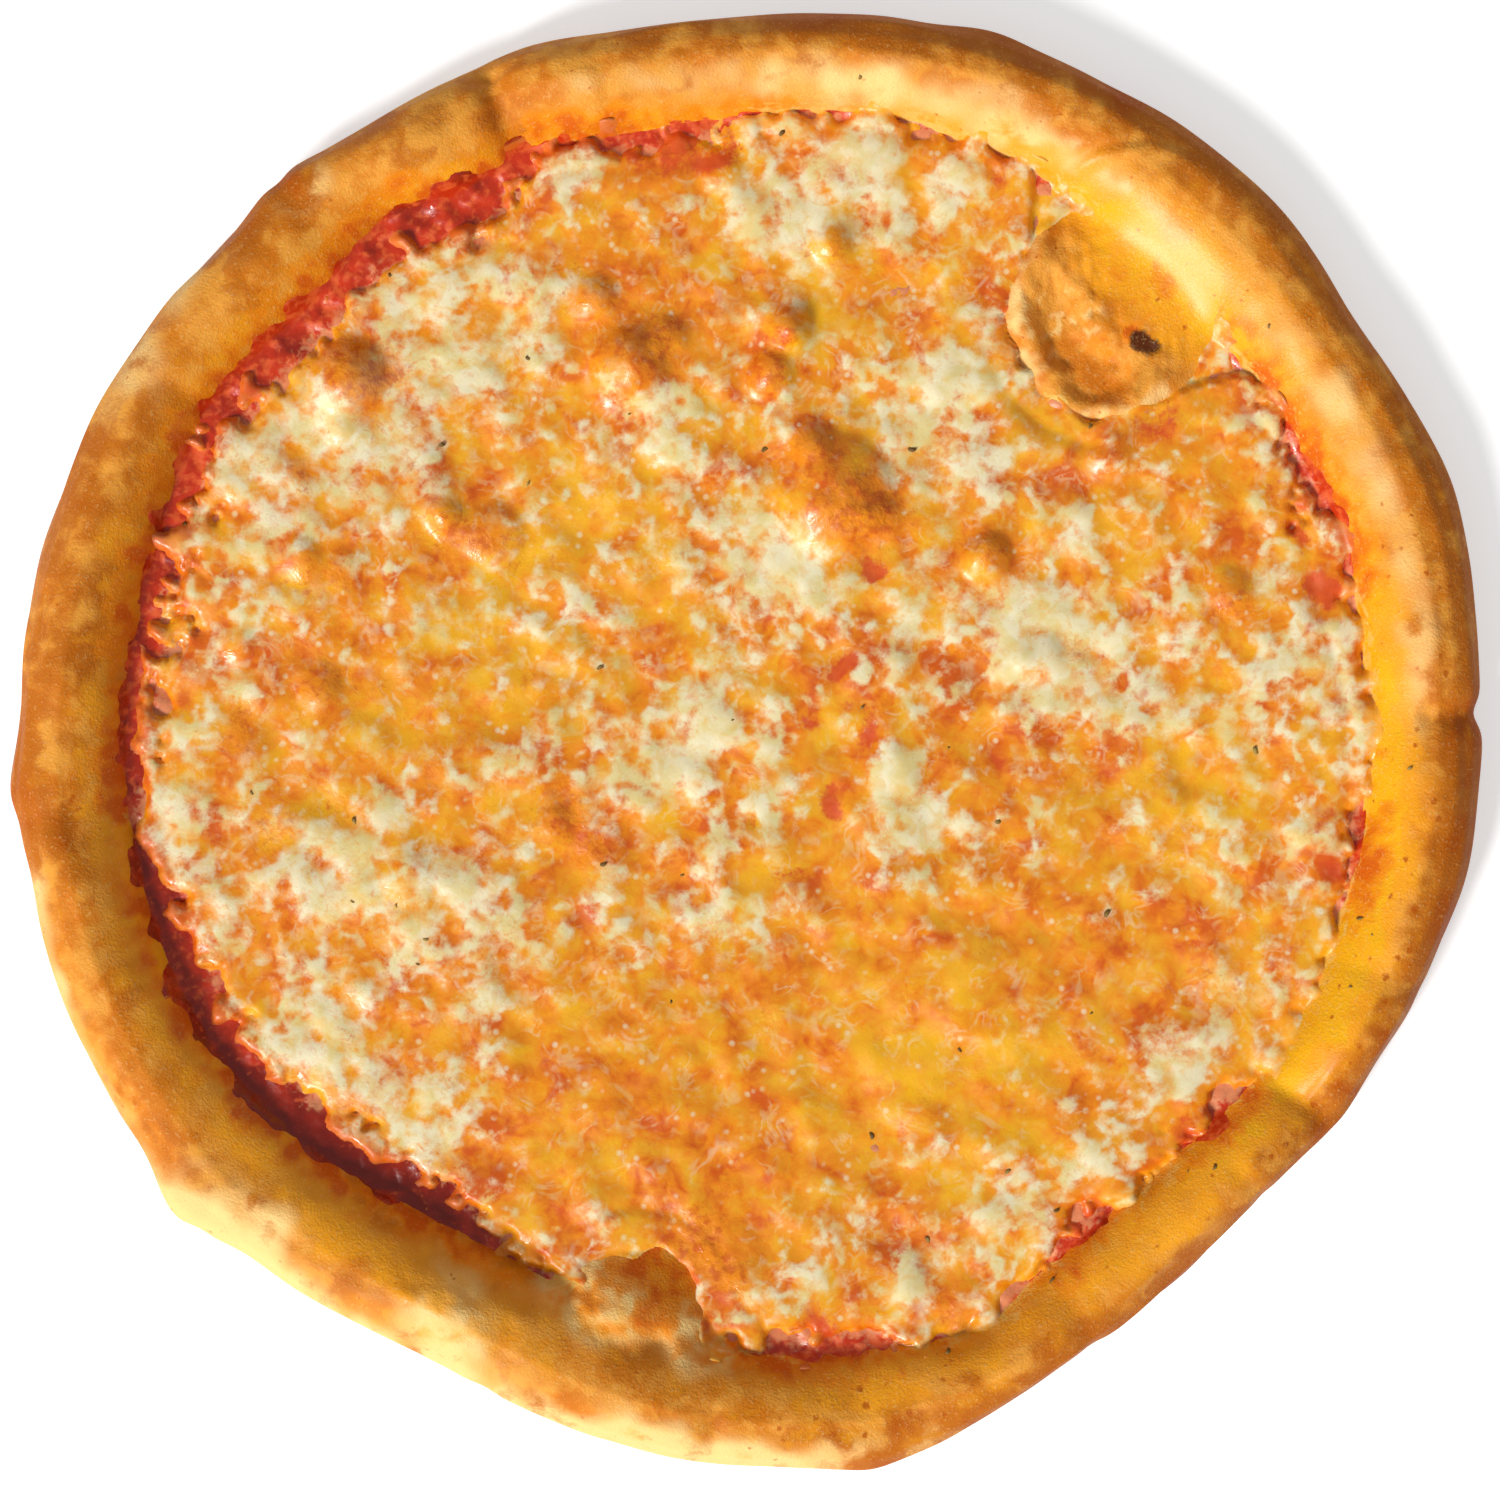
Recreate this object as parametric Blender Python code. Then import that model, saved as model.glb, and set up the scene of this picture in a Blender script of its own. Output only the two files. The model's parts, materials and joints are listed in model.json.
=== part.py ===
"""A thin-crust margherita pizza, about 300 mm across, as three stacked solids.

crust       the baked dough: a flat base, a puffed rim and two blisters that rose through the topping
sauce       the tomato sauce spread on the base, cut round the blisters
mozzarella  the melted cheese on the sauce, short of its edge, with its own domed bubbles

Each solid is a loft: rings of points about the Z axis, from the middle of its top, out over its
edge and back to the middle of its underside. Angles are in degrees, anticlockwise from +X.
The finished pizza is moved so that the middle of its outline's box is at the origin, on the table.
"""

import math
from typing import NamedTuple

import bmesh
import bpy
from mathutils import Vector

# Driving dimensions, in metres
RIM_RADIUS = 0.1503
TOE_RADIUS = 0.1285
RIM_HEIGHT = 0.0180
BASE_THICKNESS = 0.0040
SAUCE_THICKNESS = 0.0012
CHEESE_THICKNESS = 0.0022
LAYER_GAP = 0.0003
BLISTER_CLEARANCE = 0.0058

# Where the rim's crest and its widest line lie, how it turns in to its foot and how full its inner
# shoulder is, and how much of a sunken bubble is hollow: shares of a width or a height
CREST_SHARE = 0.56
EQUATOR_SHARE = 0.42
LOWEST_ROUND = math.radians(-62)
FOOT_SHARE = 1.12
SHOULDER_SHARE = 0.8
HOLLOW_SHARE = 0.7

# Margins between the rim's toe, the sauce's edge and the cheese's edge
SAUCE_MARGIN = 0.0012
CHEESE_MARGIN = 0.0030
SAUCE_EDGE_INSET = 0.0012
CHEESE_EDGE_INSET = 0.0022
EDGE_HEIGHT_SHARE = 0.35
EDGE_TUCK_SHARE = 0.3

# The cheese's gentle waves, where the layer sagged as it melted: wave counts across the pizza
WAVE_HEIGHT = 0.00035
WAVE_SPAN = 2 * RIM_RADIUS
WAVES = ((3.1, 1.7), (-2.3, 3.7), (5.2, -2.9))

# Ring counts
CRUST_SEGMENTS = 144
LAYER_SEGMENTS = 108
SLOPE_RINGS = 6
ROUND_RINGS = 7
CRUST_BASE_SHARES = (0.28, 0.52, 0.68, 0.76, 0.83, 0.90, 0.96)
SAUCE_SHARES = (0.35, 0.70)
CHEESE_SHARES = (0.10, 0.20, 0.30, 0.39, 0.48, 0.57, 0.66, 0.75, 0.84, 0.93)


class Swell(NamedTuple):
    """A smooth rise, or a dip if negative, centred on an angle of the rim."""

    angle: float
    spread: float
    rise: float


class Dome(NamedTuple):
    """A round bubble. Sunken is the share of its height lost at its middle, where it has collapsed.

    Softness is how gently its edge meets the surface round it: 2 is a soft bell and 1 a steep mound.
    """

    angle: float
    distance: float
    radius: float
    height: float
    sunken: float
    softness: float = 2.0


OUTLINE_SWELLS = (
    Swell(45.0, 27.0, 0.0056),
    Swell(20.0, 6.0, 0.0018),
    Swell(33.0, 5.5, -0.0019),
    Swell(53.0, 8.0, 0.0012),
    Swell(68.0, 5.0, 0.0013),
    Swell(95.0, 8.0, -0.0010),
    Swell(107.5, 2.5, 0.0014),
    Swell(128.7, 1.8, 0.0022),
    Swell(184.5, 2.0, 0.0027),
    Swell(219.5, 2.2, 0.0050),
    Swell(243.0, 13.0, -0.0074),
    Swell(280.2, 1.8, 0.0028),
    Swell(284.0, 5.0, 0.0019),
    Swell(313.0, 17.0, -0.0091),
    Swell(328.0, 2.0, 0.0017),
    Swell(352.0, 8.0, 0.0012),
)

TOE_SWELLS = (
    Swell(20.0, 9.0, 0.0020),
    Swell(73.0, 13.0, 0.0055),
    Swell(109.0, 3.0, 0.0030),
    Swell(124.0, 3.0, 0.0036),
    Swell(149.0, 6.0, 0.0030),
    Swell(242.0, 18.0, -0.0115),
    Swell(292.0, 4.0, 0.0035),
    Swell(311.0, 12.0, -0.0060),
)

HEIGHT_SWELLS = (
    Swell(2.5, 2.6, -0.0030),
    Swell(48.0, 14.0, -0.0020),
    Swell(85.0, 20.0, 0.0015),
    Swell(111.5, 2.6, -0.0034),
    Swell(128.0, 4.0, -0.0020),
    Swell(184.0, 4.0, -0.0018),
    Swell(219.0, 6.0, -0.0030),
    Swell(245.0, 12.0, 0.0010),
    Swell(268.5, 3.2, -0.0016),
    Swell(281.0, 6.0, -0.0030),
    Swell(310.0, 12.0, -0.0015),
    Swell(327.5, 2.6, -0.0048),
)

# The width of sauce left bare outside the cheese, beyond CHEESE_MARGIN
BARE_SAUCE_SWELLS = (
    Swell(15.0, 6.0, 0.0050),
    Swell(97.0, 7.0, 0.0050),
    Swell(120.0, 6.0, 0.0095),
    Swell(140.0, 14.0, 0.0050),
    Swell(175.0, 10.0, 0.0040),
    Swell(215.0, 16.0, 0.0055),
)

BLISTERS = (
    Dome(49.5, 0.1195, 0.0232, 0.0070, 0.40, 1.0),
    Dome(259.0, 0.1215, 0.0175, 0.0095, 0.0, 1.3),
)

CHEESE_BUBBLES = (
    Dome(71.5, 0.0545, 0.0150, 0.0048, 0.0),
    Dome(106.8, 0.0815, 0.0095, 0.0034, 0.0),
    Dome(84.4, 0.0850, 0.0085, 0.0030, 0.0),
    Dome(143.5, 0.0760, 0.0095, 0.0026, 0.0),
    Dome(138.1, 0.1125, 0.0095, 0.0034, 0.0),
    Dome(39.0, 0.0650, 0.0075, 0.0026, 0.0),
    Dome(80.5, 0.1075, 0.0070, 0.0020, 0.0),
    Dome(265.0, 0.0280, 0.0120, 0.0016, 0.0),
    Dome(310.0, 0.0700, 0.0160, 0.0016, 0.0),
    Dome(200.0, 0.0750, 0.0160, 0.0014, 0.0),
)


def swelling(swells, angle):
    """The sum of the swells at an angle, in metres."""
    total = 0.0
    for swell in swells:
        away = (angle - swell.angle + 180.0) % 360.0 - 180.0
        total += swell.rise * math.exp(-0.5 * (away / swell.spread) ** 2)
    return total


def polar(radius, angle, height):
    """The point at a radius and an angle about the Z axis."""
    turn = math.radians(angle)
    return Vector((radius * math.cos(turn), radius * math.sin(turn), height))


def outline_radius(angle):
    """The rim's widest radius."""
    return RIM_RADIUS + swelling(OUTLINE_SWELLS, angle)


def toe_radius(angle):
    """Where the rim's inner slope meets the flat base."""
    return TOE_RADIUS + swelling(TOE_SWELLS, angle)


def crest_height(angle):
    """The rim's highest point at an angle."""
    return RIM_HEIGHT + swelling(HEIGHT_SWELLS, angle)


def reach_before_domes(radius, angle, domes, clearance):
    """A radius cut back to where a ray from the middle first meets a dome's foot."""
    for dome in domes:
        away = math.radians(angle - dome.angle)
        foot = dome.radius + clearance
        offset = dome.distance * math.sin(away)
        if math.cos(away) > 0 and abs(offset) < foot:
            entry = dome.distance * math.cos(away) - math.sqrt(foot**2 - offset**2)
            radius = min(radius, entry)
    return radius


def dome_rise(point, domes):
    """The height that the domes add at a point: a bell, hollowed at its middle where it is sunken."""
    total = 0.0
    for dome in domes:
        centre = polar(dome.distance, dome.angle, 0)
        share = math.hypot(point.x - centre.x, point.y - centre.y) / dome.radius
        if share < 1:
            bell = (1 - share**2) ** dome.softness
            hollow = dome.sunken * max(0.0, 1 - (share / HOLLOW_SHARE) ** 2)
            total += dome.height * bell * (1 - hollow)
    return total


def wave_rise(point):
    """The height of the cheese's gentle waves at a point."""
    total = 0.0
    for across, along in WAVES:
        turns = (across * point.x + along * point.y) / WAVE_SPAN
        total += WAVE_HEIGHT * math.sin(2 * math.pi * turns)
    return total


def sauce_radius(angle):
    """The sauce's edge, just inside the toe and clear of the blisters."""
    return reach_before_domes(toe_radius(angle) - SAUCE_MARGIN, angle, BLISTERS, BLISTER_CLEARANCE)


def cheese_radius(angle):
    """The cheese's edge, which leaves a band of sauce bare where the cheese stops short."""
    edge = toe_radius(angle) - CHEESE_MARGIN - swelling(BARE_SAUCE_SWELLS, angle)
    return reach_before_domes(edge, angle, BLISTERS, BLISTER_CLEARANCE)


def angles_of(segments):
    """The angles of a ring's points."""
    return [360.0 * i / segments for i in range(segments)]


def crust_section(angle):
    """The crust's section at an angle, from the inner base, up the slope, over the rim and down to its foot."""
    toe = toe_radius(angle)
    widest = outline_radius(angle)
    top = crest_height(angle)
    crest = toe + CREST_SHARE * (widest - toe)
    equator = EQUATOR_SHARE * top
    section = []
    for share in CRUST_BASE_SHARES:
        section.append(polar(share * toe, angle, BASE_THICKNESS))
    for i in range(SLOPE_RINGS):
        turn = math.pi / 2 * i / SLOPE_RINGS
        along = 1 - math.cos(turn)
        climb = SHOULDER_SHARE * math.sin(turn) + (1 - SHOULDER_SHARE) * along
        section.append(
            polar(toe + along * (crest - toe), angle, BASE_THICKNESS + climb * (top - BASE_THICKNESS))
        )
    for point in section:
        point.z = max(point.z, BASE_THICKNESS + dome_rise(point, BLISTERS))
    for i in range(ROUND_RINGS):
        turn = math.pi / 2 + (LOWEST_ROUND - math.pi / 2) * i / (ROUND_RINGS - 1)
        half_height = top - equator if turn > 0 else equator
        section.append(
            polar(crest + (widest - crest) * math.cos(turn), angle, equator + half_height * math.sin(turn))
        )
    foot = crest + (widest - crest) * math.cos(LOWEST_ROUND * FOOT_SHARE)
    section.append(polar(foot, angle, 0))
    return section


def layer_section(angle, edge, shares, floor, thickness, inset, relief):
    """A topping layer's section at an angle, from its inner top out to its edge and its underside."""
    top = floor + thickness
    radii = [share * edge for share in shares] + [edge - inset]
    section = [polar(radius, angle, top) for radius in radii]
    for point in section:
        point.z += relief(point)
    section.append(polar(edge, angle, floor + EDGE_HEIGHT_SHARE * thickness))
    section.append(polar(edge - EDGE_TUCK_SHARE * inset, angle, floor))
    return section


def loft(name, sections, top_height, bottom_height):
    """A closed solid from one section for each angle, capped at the middle of its top and its underside."""
    mesh = bpy.data.meshes.new(name)
    shell = bmesh.new()
    columns = [[shell.verts.new(point) for point in section] for section in sections]
    top = shell.verts.new((0, 0, top_height))
    bottom = shell.verts.new((0, 0, bottom_height))
    for i, column in enumerate(columns):
        beside = columns[(i + 1) % len(columns)]
        shell.faces.new((top, column[0], beside[0]))
        shell.faces.new((bottom, beside[-1], column[-1]))
        for j in range(len(column) - 1):
            shell.faces.new((column[j], column[j + 1], beside[j + 1], beside[j]))
    bmesh.ops.recalc_face_normals(shell, faces=shell.faces)
    bmesh.ops.triangulate(shell, faces=shell.faces)
    shell.to_mesh(mesh)
    shell.free()
    mesh.shade_smooth()
    solid = bpy.data.objects.new(name, mesh)
    bpy.context.collection.objects.link(solid)
    return solid


def finish(solid, colour, roughness):
    """Gives a solid its own material."""
    material = bpy.data.materials.new(solid.name)
    material.use_nodes = True
    shader = material.node_tree.nodes["Principled BSDF"]
    shader.inputs["Base Color"].default_value = (*colour, 1)
    shader.inputs["Roughness"].default_value = roughness
    shader.inputs["Metallic"].default_value = 0
    solid.data.materials.append(material)


def make_crust():
    """The baked dough."""
    sections = [crust_section(angle) for angle in angles_of(CRUST_SEGMENTS)]
    crust = loft("crust", sections, BASE_THICKNESS, 0)
    finish(crust, (0.62, 0.31, 0.08), 0.6)
    return crust


def cheese_relief(point):
    """How far the cheese's top stands above its flat level at a point."""
    return dome_rise(point, CHEESE_BUBBLES) + wave_rise(point)


def make_sauce():
    """The tomato sauce."""
    floor = BASE_THICKNESS + LAYER_GAP
    sections = [
        layer_section(
            angle,
            sauce_radius(angle),
            SAUCE_SHARES,
            floor,
            SAUCE_THICKNESS,
            SAUCE_EDGE_INSET,
            lambda point: 0.0,
        )
        for angle in angles_of(LAYER_SEGMENTS)
    ]
    sauce = loft("sauce", sections, floor + SAUCE_THICKNESS, floor)
    finish(sauce, (0.50, 0.04, 0.01), 0.35)
    return sauce


def make_cheese():
    """The melted cheese."""
    floor = BASE_THICKNESS + SAUCE_THICKNESS + 2 * LAYER_GAP
    sections = [
        layer_section(
            angle,
            cheese_radius(angle),
            CHEESE_SHARES,
            floor,
            CHEESE_THICKNESS,
            CHEESE_EDGE_INSET,
            cheese_relief,
        )
        for angle in angles_of(LAYER_SEGMENTS)
    ]
    cheese = loft("mozzarella", sections, floor + CHEESE_THICKNESS, floor)
    finish(cheese, (0.85, 0.62, 0.28), 0.35)
    return cheese


def centre_on_origin(solids):
    """Moves every mesh so that the middle of the whole outline's box is over the origin."""
    points = [vertex.co for solid in solids for vertex in solid.data.vertices]
    middle = Vector((0, 0, 0))
    for axis in range(2):
        places = [point[axis] for point in points]
        middle[axis] = (min(places) + max(places)) / 2
    for solid in solids:
        for vertex in solid.data.vertices:
            vertex.co -= middle


def main():
    """Clears the scene and builds the pizza."""
    for old in list(bpy.data.objects):
        bpy.data.objects.remove(old)
    centre_on_origin([make_crust(), make_sauce(), make_cheese()])


main()
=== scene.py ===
"""The looks of a baked margherita pizza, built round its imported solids.

The dough, the sauce and the melted cheese each take the place of their plain solid with a finely
shaped mesh of the same size, and dried herb flakes are scattered on top. Lengths are in metres,
except in the short lists of marks, which are in millimetres. Angles are in degrees, anticlockwise
from +X as seen from above.
"""

from __future__ import annotations

import json
import logging
import math
from dataclasses import dataclass, field
from enum import Enum
from typing import NamedTuple

import bpy
import numpy as np
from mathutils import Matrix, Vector
from mathutils.bvhtree import BVHTree

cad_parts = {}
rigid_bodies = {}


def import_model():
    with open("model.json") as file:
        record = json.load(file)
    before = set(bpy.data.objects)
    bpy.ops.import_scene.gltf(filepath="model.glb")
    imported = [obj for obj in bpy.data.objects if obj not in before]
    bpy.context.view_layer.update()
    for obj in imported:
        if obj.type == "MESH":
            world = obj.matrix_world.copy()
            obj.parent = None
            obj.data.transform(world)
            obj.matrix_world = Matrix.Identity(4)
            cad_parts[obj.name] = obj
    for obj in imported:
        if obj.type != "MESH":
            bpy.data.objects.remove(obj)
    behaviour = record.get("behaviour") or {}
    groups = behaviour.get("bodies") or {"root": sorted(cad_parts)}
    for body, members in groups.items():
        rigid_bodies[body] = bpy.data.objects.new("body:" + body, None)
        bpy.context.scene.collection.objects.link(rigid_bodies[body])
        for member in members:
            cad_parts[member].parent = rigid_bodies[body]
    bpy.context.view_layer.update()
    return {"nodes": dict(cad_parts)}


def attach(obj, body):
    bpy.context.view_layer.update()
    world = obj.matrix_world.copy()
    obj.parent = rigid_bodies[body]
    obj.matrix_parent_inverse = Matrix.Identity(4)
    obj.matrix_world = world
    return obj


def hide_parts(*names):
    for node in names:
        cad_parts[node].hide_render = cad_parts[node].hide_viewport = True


LOG = logging.getLogger("pizza")
MM = 0.001
Colour = tuple[float, float, float]

# The coarse cells that read a solid's height, how far its facets are softened, and the size of the
# lumps that the edges of the cheese, the sauce and the dough share, all in metres
COARSE_CELL = 0.001
FACET_BLUR = 0.0013
SHRED_SIZE = 0.0036
# The way that the broad blister's curled edge faces, in degrees, and how far marks are told apart, in mm
CURL_ANGLE = 222
BAND_REACH = 9


class Mark(NamedTuple):
    """A soft round patch as seen from above: its middle, its radius (mm) and how strong it is."""

    x: float
    y: float
    radius: float
    amount: float


class Arc(NamedTuple):
    """A soft patch along the rim: angle, radius (mm), spread (degrees), width (mm) and strength."""

    angle: float
    radius: float
    spread: float
    width: float
    amount: float


class Groove(NamedTuple):
    """A pinch across the rim: angle, half-width (degrees), depth and the radii it runs between (mm)."""

    angle: float
    spread: float
    depth: float
    inner: float
    outer: float


# Where the cheese melted into thick cream-coloured pools
CREAM_POOLS = (
    Mark(-85, 62, 13, 1.0), Mark(-72, 78, 11, 0.9), Mark(-47, 88, 11, 1.0), Mark(-55, 73, 10, 0.7),
    Mark(-100, 45, 8, 0.7), Mark(-103, 62, 5, 0.6), Mark(-20, 62, 8, 0.5), Mark(-40, 117, 7, 0.6),
    Mark(8, 112, 12, 0.8), Mark(25, 117, 11, 0.8), Mark(41, 112, 9, 0.8), Mark(4, 127, 6, 0.8),
    Mark(24, 104, 8, 0.5), Mark(36, 62, 11, 0.9), Mark(42, 76, 10, 0.7), Mark(50, 58, 6, 0.7),
    Mark(2, 45, 7, 0.9), Mark(11, 36, 7, 1.1), Mark(0, 24, 9, 0.8), Mark(-6, 12, 7, 0.7),
    Mark(36, 24, 7, 0.8), Mark(-12, 2, 9, 1.1), Mark(-14, -9, 7, 0.9), Mark(5, -8, 6, 0.7),
    Mark(58, 27, 11, 0.9), Mark(72, 20, 12, 0.8), Mark(57, 6, 7, 0.5), Mark(86, 8, 10, 0.6),
    Mark(35, -14, 8, 1.3), Mark(43, -18, 5, 0.8), Mark(119, 20, 5, 0.9), Mark(121, 8, 5, 1.0),
    Mark(109, 40, 4, 0.9), Mark(112, 61, 6, 0.5), Mark(122, -17, 4, 0.7), Mark(-5, -38, 7, 1.0),
    Mark(5, -42, 6, 0.7), Mark(-76, -22, 8, 0.9), Mark(-60, -27, 9, 0.9), Mark(-86, -32, 7, 0.7),
    Mark(-70, -39, 7, 0.7), Mark(-85, -51, 7, 0.7), Mark(-47, -45, 8, 0.9), Mark(-106, -38, 5, 0.7),
    Mark(-88, -62, 8, 1.1), Mark(-75, -72, 7, 1.0), Mark(-65, -82, 5, 0.8), Mark(-113, 12, 5, 0.5),
    Mark(-119, -14, 5, 1.0), Mark(96, -60, 7, 0.9), Mark(86, -68, 6, 0.6), Mark(68, -85, 7, 0.9),
    Mark(58, -95, 5, 0.6), Mark(49, -101, 6, 0.6), Mark(35, -107, 8, 0.9), Mark(12, -112, 5, 0.6),
    Mark(104, -50, 5, 0.5), Mark(104, -4, 7, 0.4),
)

# Where it ran thin and took up oil and sauce
THIN_PLACES = (
    Mark(0, -62, 20, 1.0), Mark(30, -52, 18, 1.0), Mark(-35, -65, 17, 0.9), Mark(60, -40, 16, 0.9),
    Mark(86, -38, 13, 0.8), Mark(40, -76, 13, 0.6), Mark(-20, -85, 14, 0.9), Mark(10, -85, 14, 0.7),
    Mark(76, -55, 11, 0.6), Mark(-42, -88, 9, 0.8), Mark(-10, -100, 10, 1.0), Mark(40, -60, 14, 0.8),
    Mark(-55, 0, 11, 0.4), Mark(-80, 4, 8, 0.5), Mark(-92, 12, 7, 0.5), Mark(-40, -15, 7, 0.7),
    Mark(-29, -21, 6, 0.7), Mark(-54, 60, 7, 0.4), Mark(0, 90, 8, 0.5), Mark(20, 98, 7, 0.6),
    Mark(-16, 102, 9, 0.5), Mark(-62, 45, 7, 0.6), Mark(-88, 35, 6, 0.6), Mark(55, 39, 7, 0.7),
    Mark(52, -3, 6, 0.8), Mark(99, 32, 9, 0.6), Mark(95, 47, 8, 0.4), Mark(14, -22, 8, 0.8),
    Mark(72, 62, 8, 0.5), Mark(18, 50, 11, 0.9), Mark(-106, -2, 6, 0.5), Mark(28, 3, 5, 0.6),
    Mark(-95, -12, 6, 0.4), Mark(-65, -58, 8, 0.4), Mark(75, -15, 8, 0.4), Mark(-36, 100, 6, 0.4),
)

# Where the sauce shows through the cheese
SAUCE_SPOTS = (
    Mark(20, 18, 3.2, 1.2), Mark(25, 4, 3.8, 1.0), Mark(13, 7, 2.6, 0.9), Mark(16, -12, 3.2, 1.2),
    Mark(114, 45, 4.2, 1.0), Mark(118, 32, 5.0, 1.1), Mark(110, 53, 4.0, 0.6), Mark(120, -15, 4.0, 0.7),
    Mark(119, -25, 4.0, 0.8), Mark(114, -42, 4.0, 0.5), Mark(92, -43, 3.0, 0.7), Mark(98, -73, 4.0, 0.9),
    Mark(92, -80, 4.0, 0.8), Mark(70, -98, 5.0, 1.0), Mark(85, 65, 5.0, 0.7), Mark(70, 66, 4.0, 0.5),
    Mark(53, 117, 4.0, 0.7), Mark(-25, 120, 4.0, 0.8), Mark(-15, 123, 5.0, 1.1), Mark(-6, 121, 4.5, 1.0),
    Mark(18, -120, 5.0, 0.9), Mark(35, -120, 5.0, 0.7), Mark(25, 40, 3.0, 1.0), Mark(1, -16, 2.6, 0.6),
    Mark(-20, 111, 4.0, 0.5), Mark(52, -3, 3.0, 0.7), Mark(-15, 88, 3.5, 0.5), Mark(7, 85, 3.0, 0.6),
    Mark(-62, 118, 4.0, 0.6), Mark(-100, 76, 5.0, 0.7), Mark(-48, 110, 4.0, 0.6), Mark(9, -28, 3.5, 0.6),
)

# Where bubbles in the cheese browned, with painted shade on the bubbles' sides away from the light
BROWNED_AND_SHADED = (
    Mark(22, 49, 9, 0.9), Mark(14, 61, 6, 0.8), Mark(29, 46, 5, 0.9), Mark(-20, 81, 7, 0.9),
    Mark(-15, 85, 4, 0.7), Mark(4, 78, 5, 1.0), Mark(8, 86, 4, 0.7), Mark(-61, 45, 6, 0.7),
    Mark(-82, 77, 6, 1.0), Mark(50, 40, 5, 0.8), Mark(18, 103, 4, 0.8), Mark(-31, 92, 6, 0.7),
    Mark(-90, 13, 5, 0.6), Mark(-85, 36, 5, 0.6), Mark(-51, 41, 5, 0.6), Mark(-38, -15, 5, 0.8),
    Mark(-28, -20, 5, 0.6), Mark(100, 30, 5, 0.5), Mark(1, -5, 4, 0.5), Mark(-92, 55, 5, 0.5),
    Mark(-105, 1, 4, 0.6), Mark(-10, -102, 7, 0.9), Mark(42, -115, 6, 0.6), Mark(-2, -108, 6, 0.8),
)

# Small bubbles that stand up from the cheese: amount is the height in mm
BUBBLES = (
    Mark(18, 52, 13, 1.6), Mark(-24, 78, 8, 1.6), Mark(5, 76, 5.5, 1.7), Mark(9, 86, 4.5, 1.4),
    Mark(-82, 76, 8, 1.5), Mark(-52, 43, 7, 0.9), Mark(50, 38, 5.5, 1.5), Mark(18, 103, 4.5, 1.2),
    Mark(-16, 84, 4.5, 1.0), Mark(-31, 92, 5, 1.0), Mark(-92, 38, 5, 0.9), Mark(-88, 12, 5, 0.8),
    Mark(13, 63, 5, 1.0), Mark(28, 46, 5, 0.8), Mark(100, 32, 5, 0.9), Mark(-62, 47, 4, 0.8),
    Mark(60, 18, 6, 0.7), Mark(-40, -18, 5, 0.7), Mark(-5, 118, 5, 0.8), Mark(-70, -28, 6, 0.6),
    Mark(75, 60, 5, 0.7), Mark(-38, 20, 6, 0.5), Mark(86, -12, 6, 0.5), Mark(-105, 20, 4, 0.7),
)

# Where yellow oil lies on the cheese
OIL_POOLS = (
    Mark(-35, 50, 11, 0.7), Mark(-50, 26, 11, 0.6), Mark(-20, 40, 10, 0.5), Mark(-60, 10, 8, 0.5),
    Mark(50, -66, 13, 0.8), Mark(30, -71, 12, 0.7), Mark(101, -5, 9, 0.7), Mark(85, -14, 9, 0.5),
    Mark(12, 100, 8, 0.5), Mark(20, 86, 8, 0.5), Mark(72, -25, 9, 0.4), Mark(45, -90, 8, 0.5),
    Mark(30, 111, 7, 0.4), Mark(75, 46, 9, 0.4), Mark(40, 92, 7, 0.5), Mark(-5, 70, 6, 0.4),
    Mark(-72, -22, 5, 0.6), Mark(-95, -20, 6, 0.4), Mark(62, -80, 7, 0.5), Mark(-40, -35, 8, 0.3),
    Mark(100, 15, 8, 0.4), Mark(20, -45, 7, 0.4),
)

# How wide the bare sauce is between cheese and rim, in mm: below 0, the cheese laps on to the rim
BAND = -2.4
BAND_ARCS = (
    Arc(97, 0, 6, 0, 4.0), Arc(118, 0, 6, 0, 8.0), Arc(136, 0, 12, 0, 5.6), Arc(162, 0, 13, 0, 5.6),
    Arc(186.5, 0, 1.8, 0, -5.5), Arc(190, 0, 10, 0, 5.0), Arc(214, 0, 13, 0, 7.0), Arc(234, 0, 8, 0, 6.5),
    Arc(23, 0, 5, 0, 2.6), Arc(350, 0, 4, 0, 1.4), Arc(321, 0, 3, 0, 1.8), Arc(304, 0, 3, 0, 1.8),
    Arc(279, 0, 5, 0, 2.4),
)
# How far the sauce climbs the rim, in mm
CLIMB = -1.4
CLIMB_ARCS = (
    Arc(120, 0, 22, 0, 1.7), Arc(172, 0, 24, 0, 1.5), Arc(222, 0, 20, 0, 1.7), Arc(23, 0, 7, 0, 2.0),
    Arc(350, 0, 6, 0, 1.5), Arc(321, 0, 4, 0, 1.8), Arc(304, 0, 4, 0, 1.8), Arc(278, 0, 8, 0, 1.6),
    Arc(37, 0, 4, 0, 1.2),
)

# Where the sauce is painted darker: mostly painted shadow from the rim over the sauce in the lower left, with
# a little darker sauce further round
DARK_SAUCE_AND_SHADE_ARCS = (
    Arc(224, 0, 15, 0, 0.50), Arc(190, 0, 8, 0, 0.25), Arc(165, 0, 6, 0, 0.12), Arc(143, 0, 5, 0, 0.15),
    Arc(118, 0, 5, 0, 0.10),
)
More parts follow.
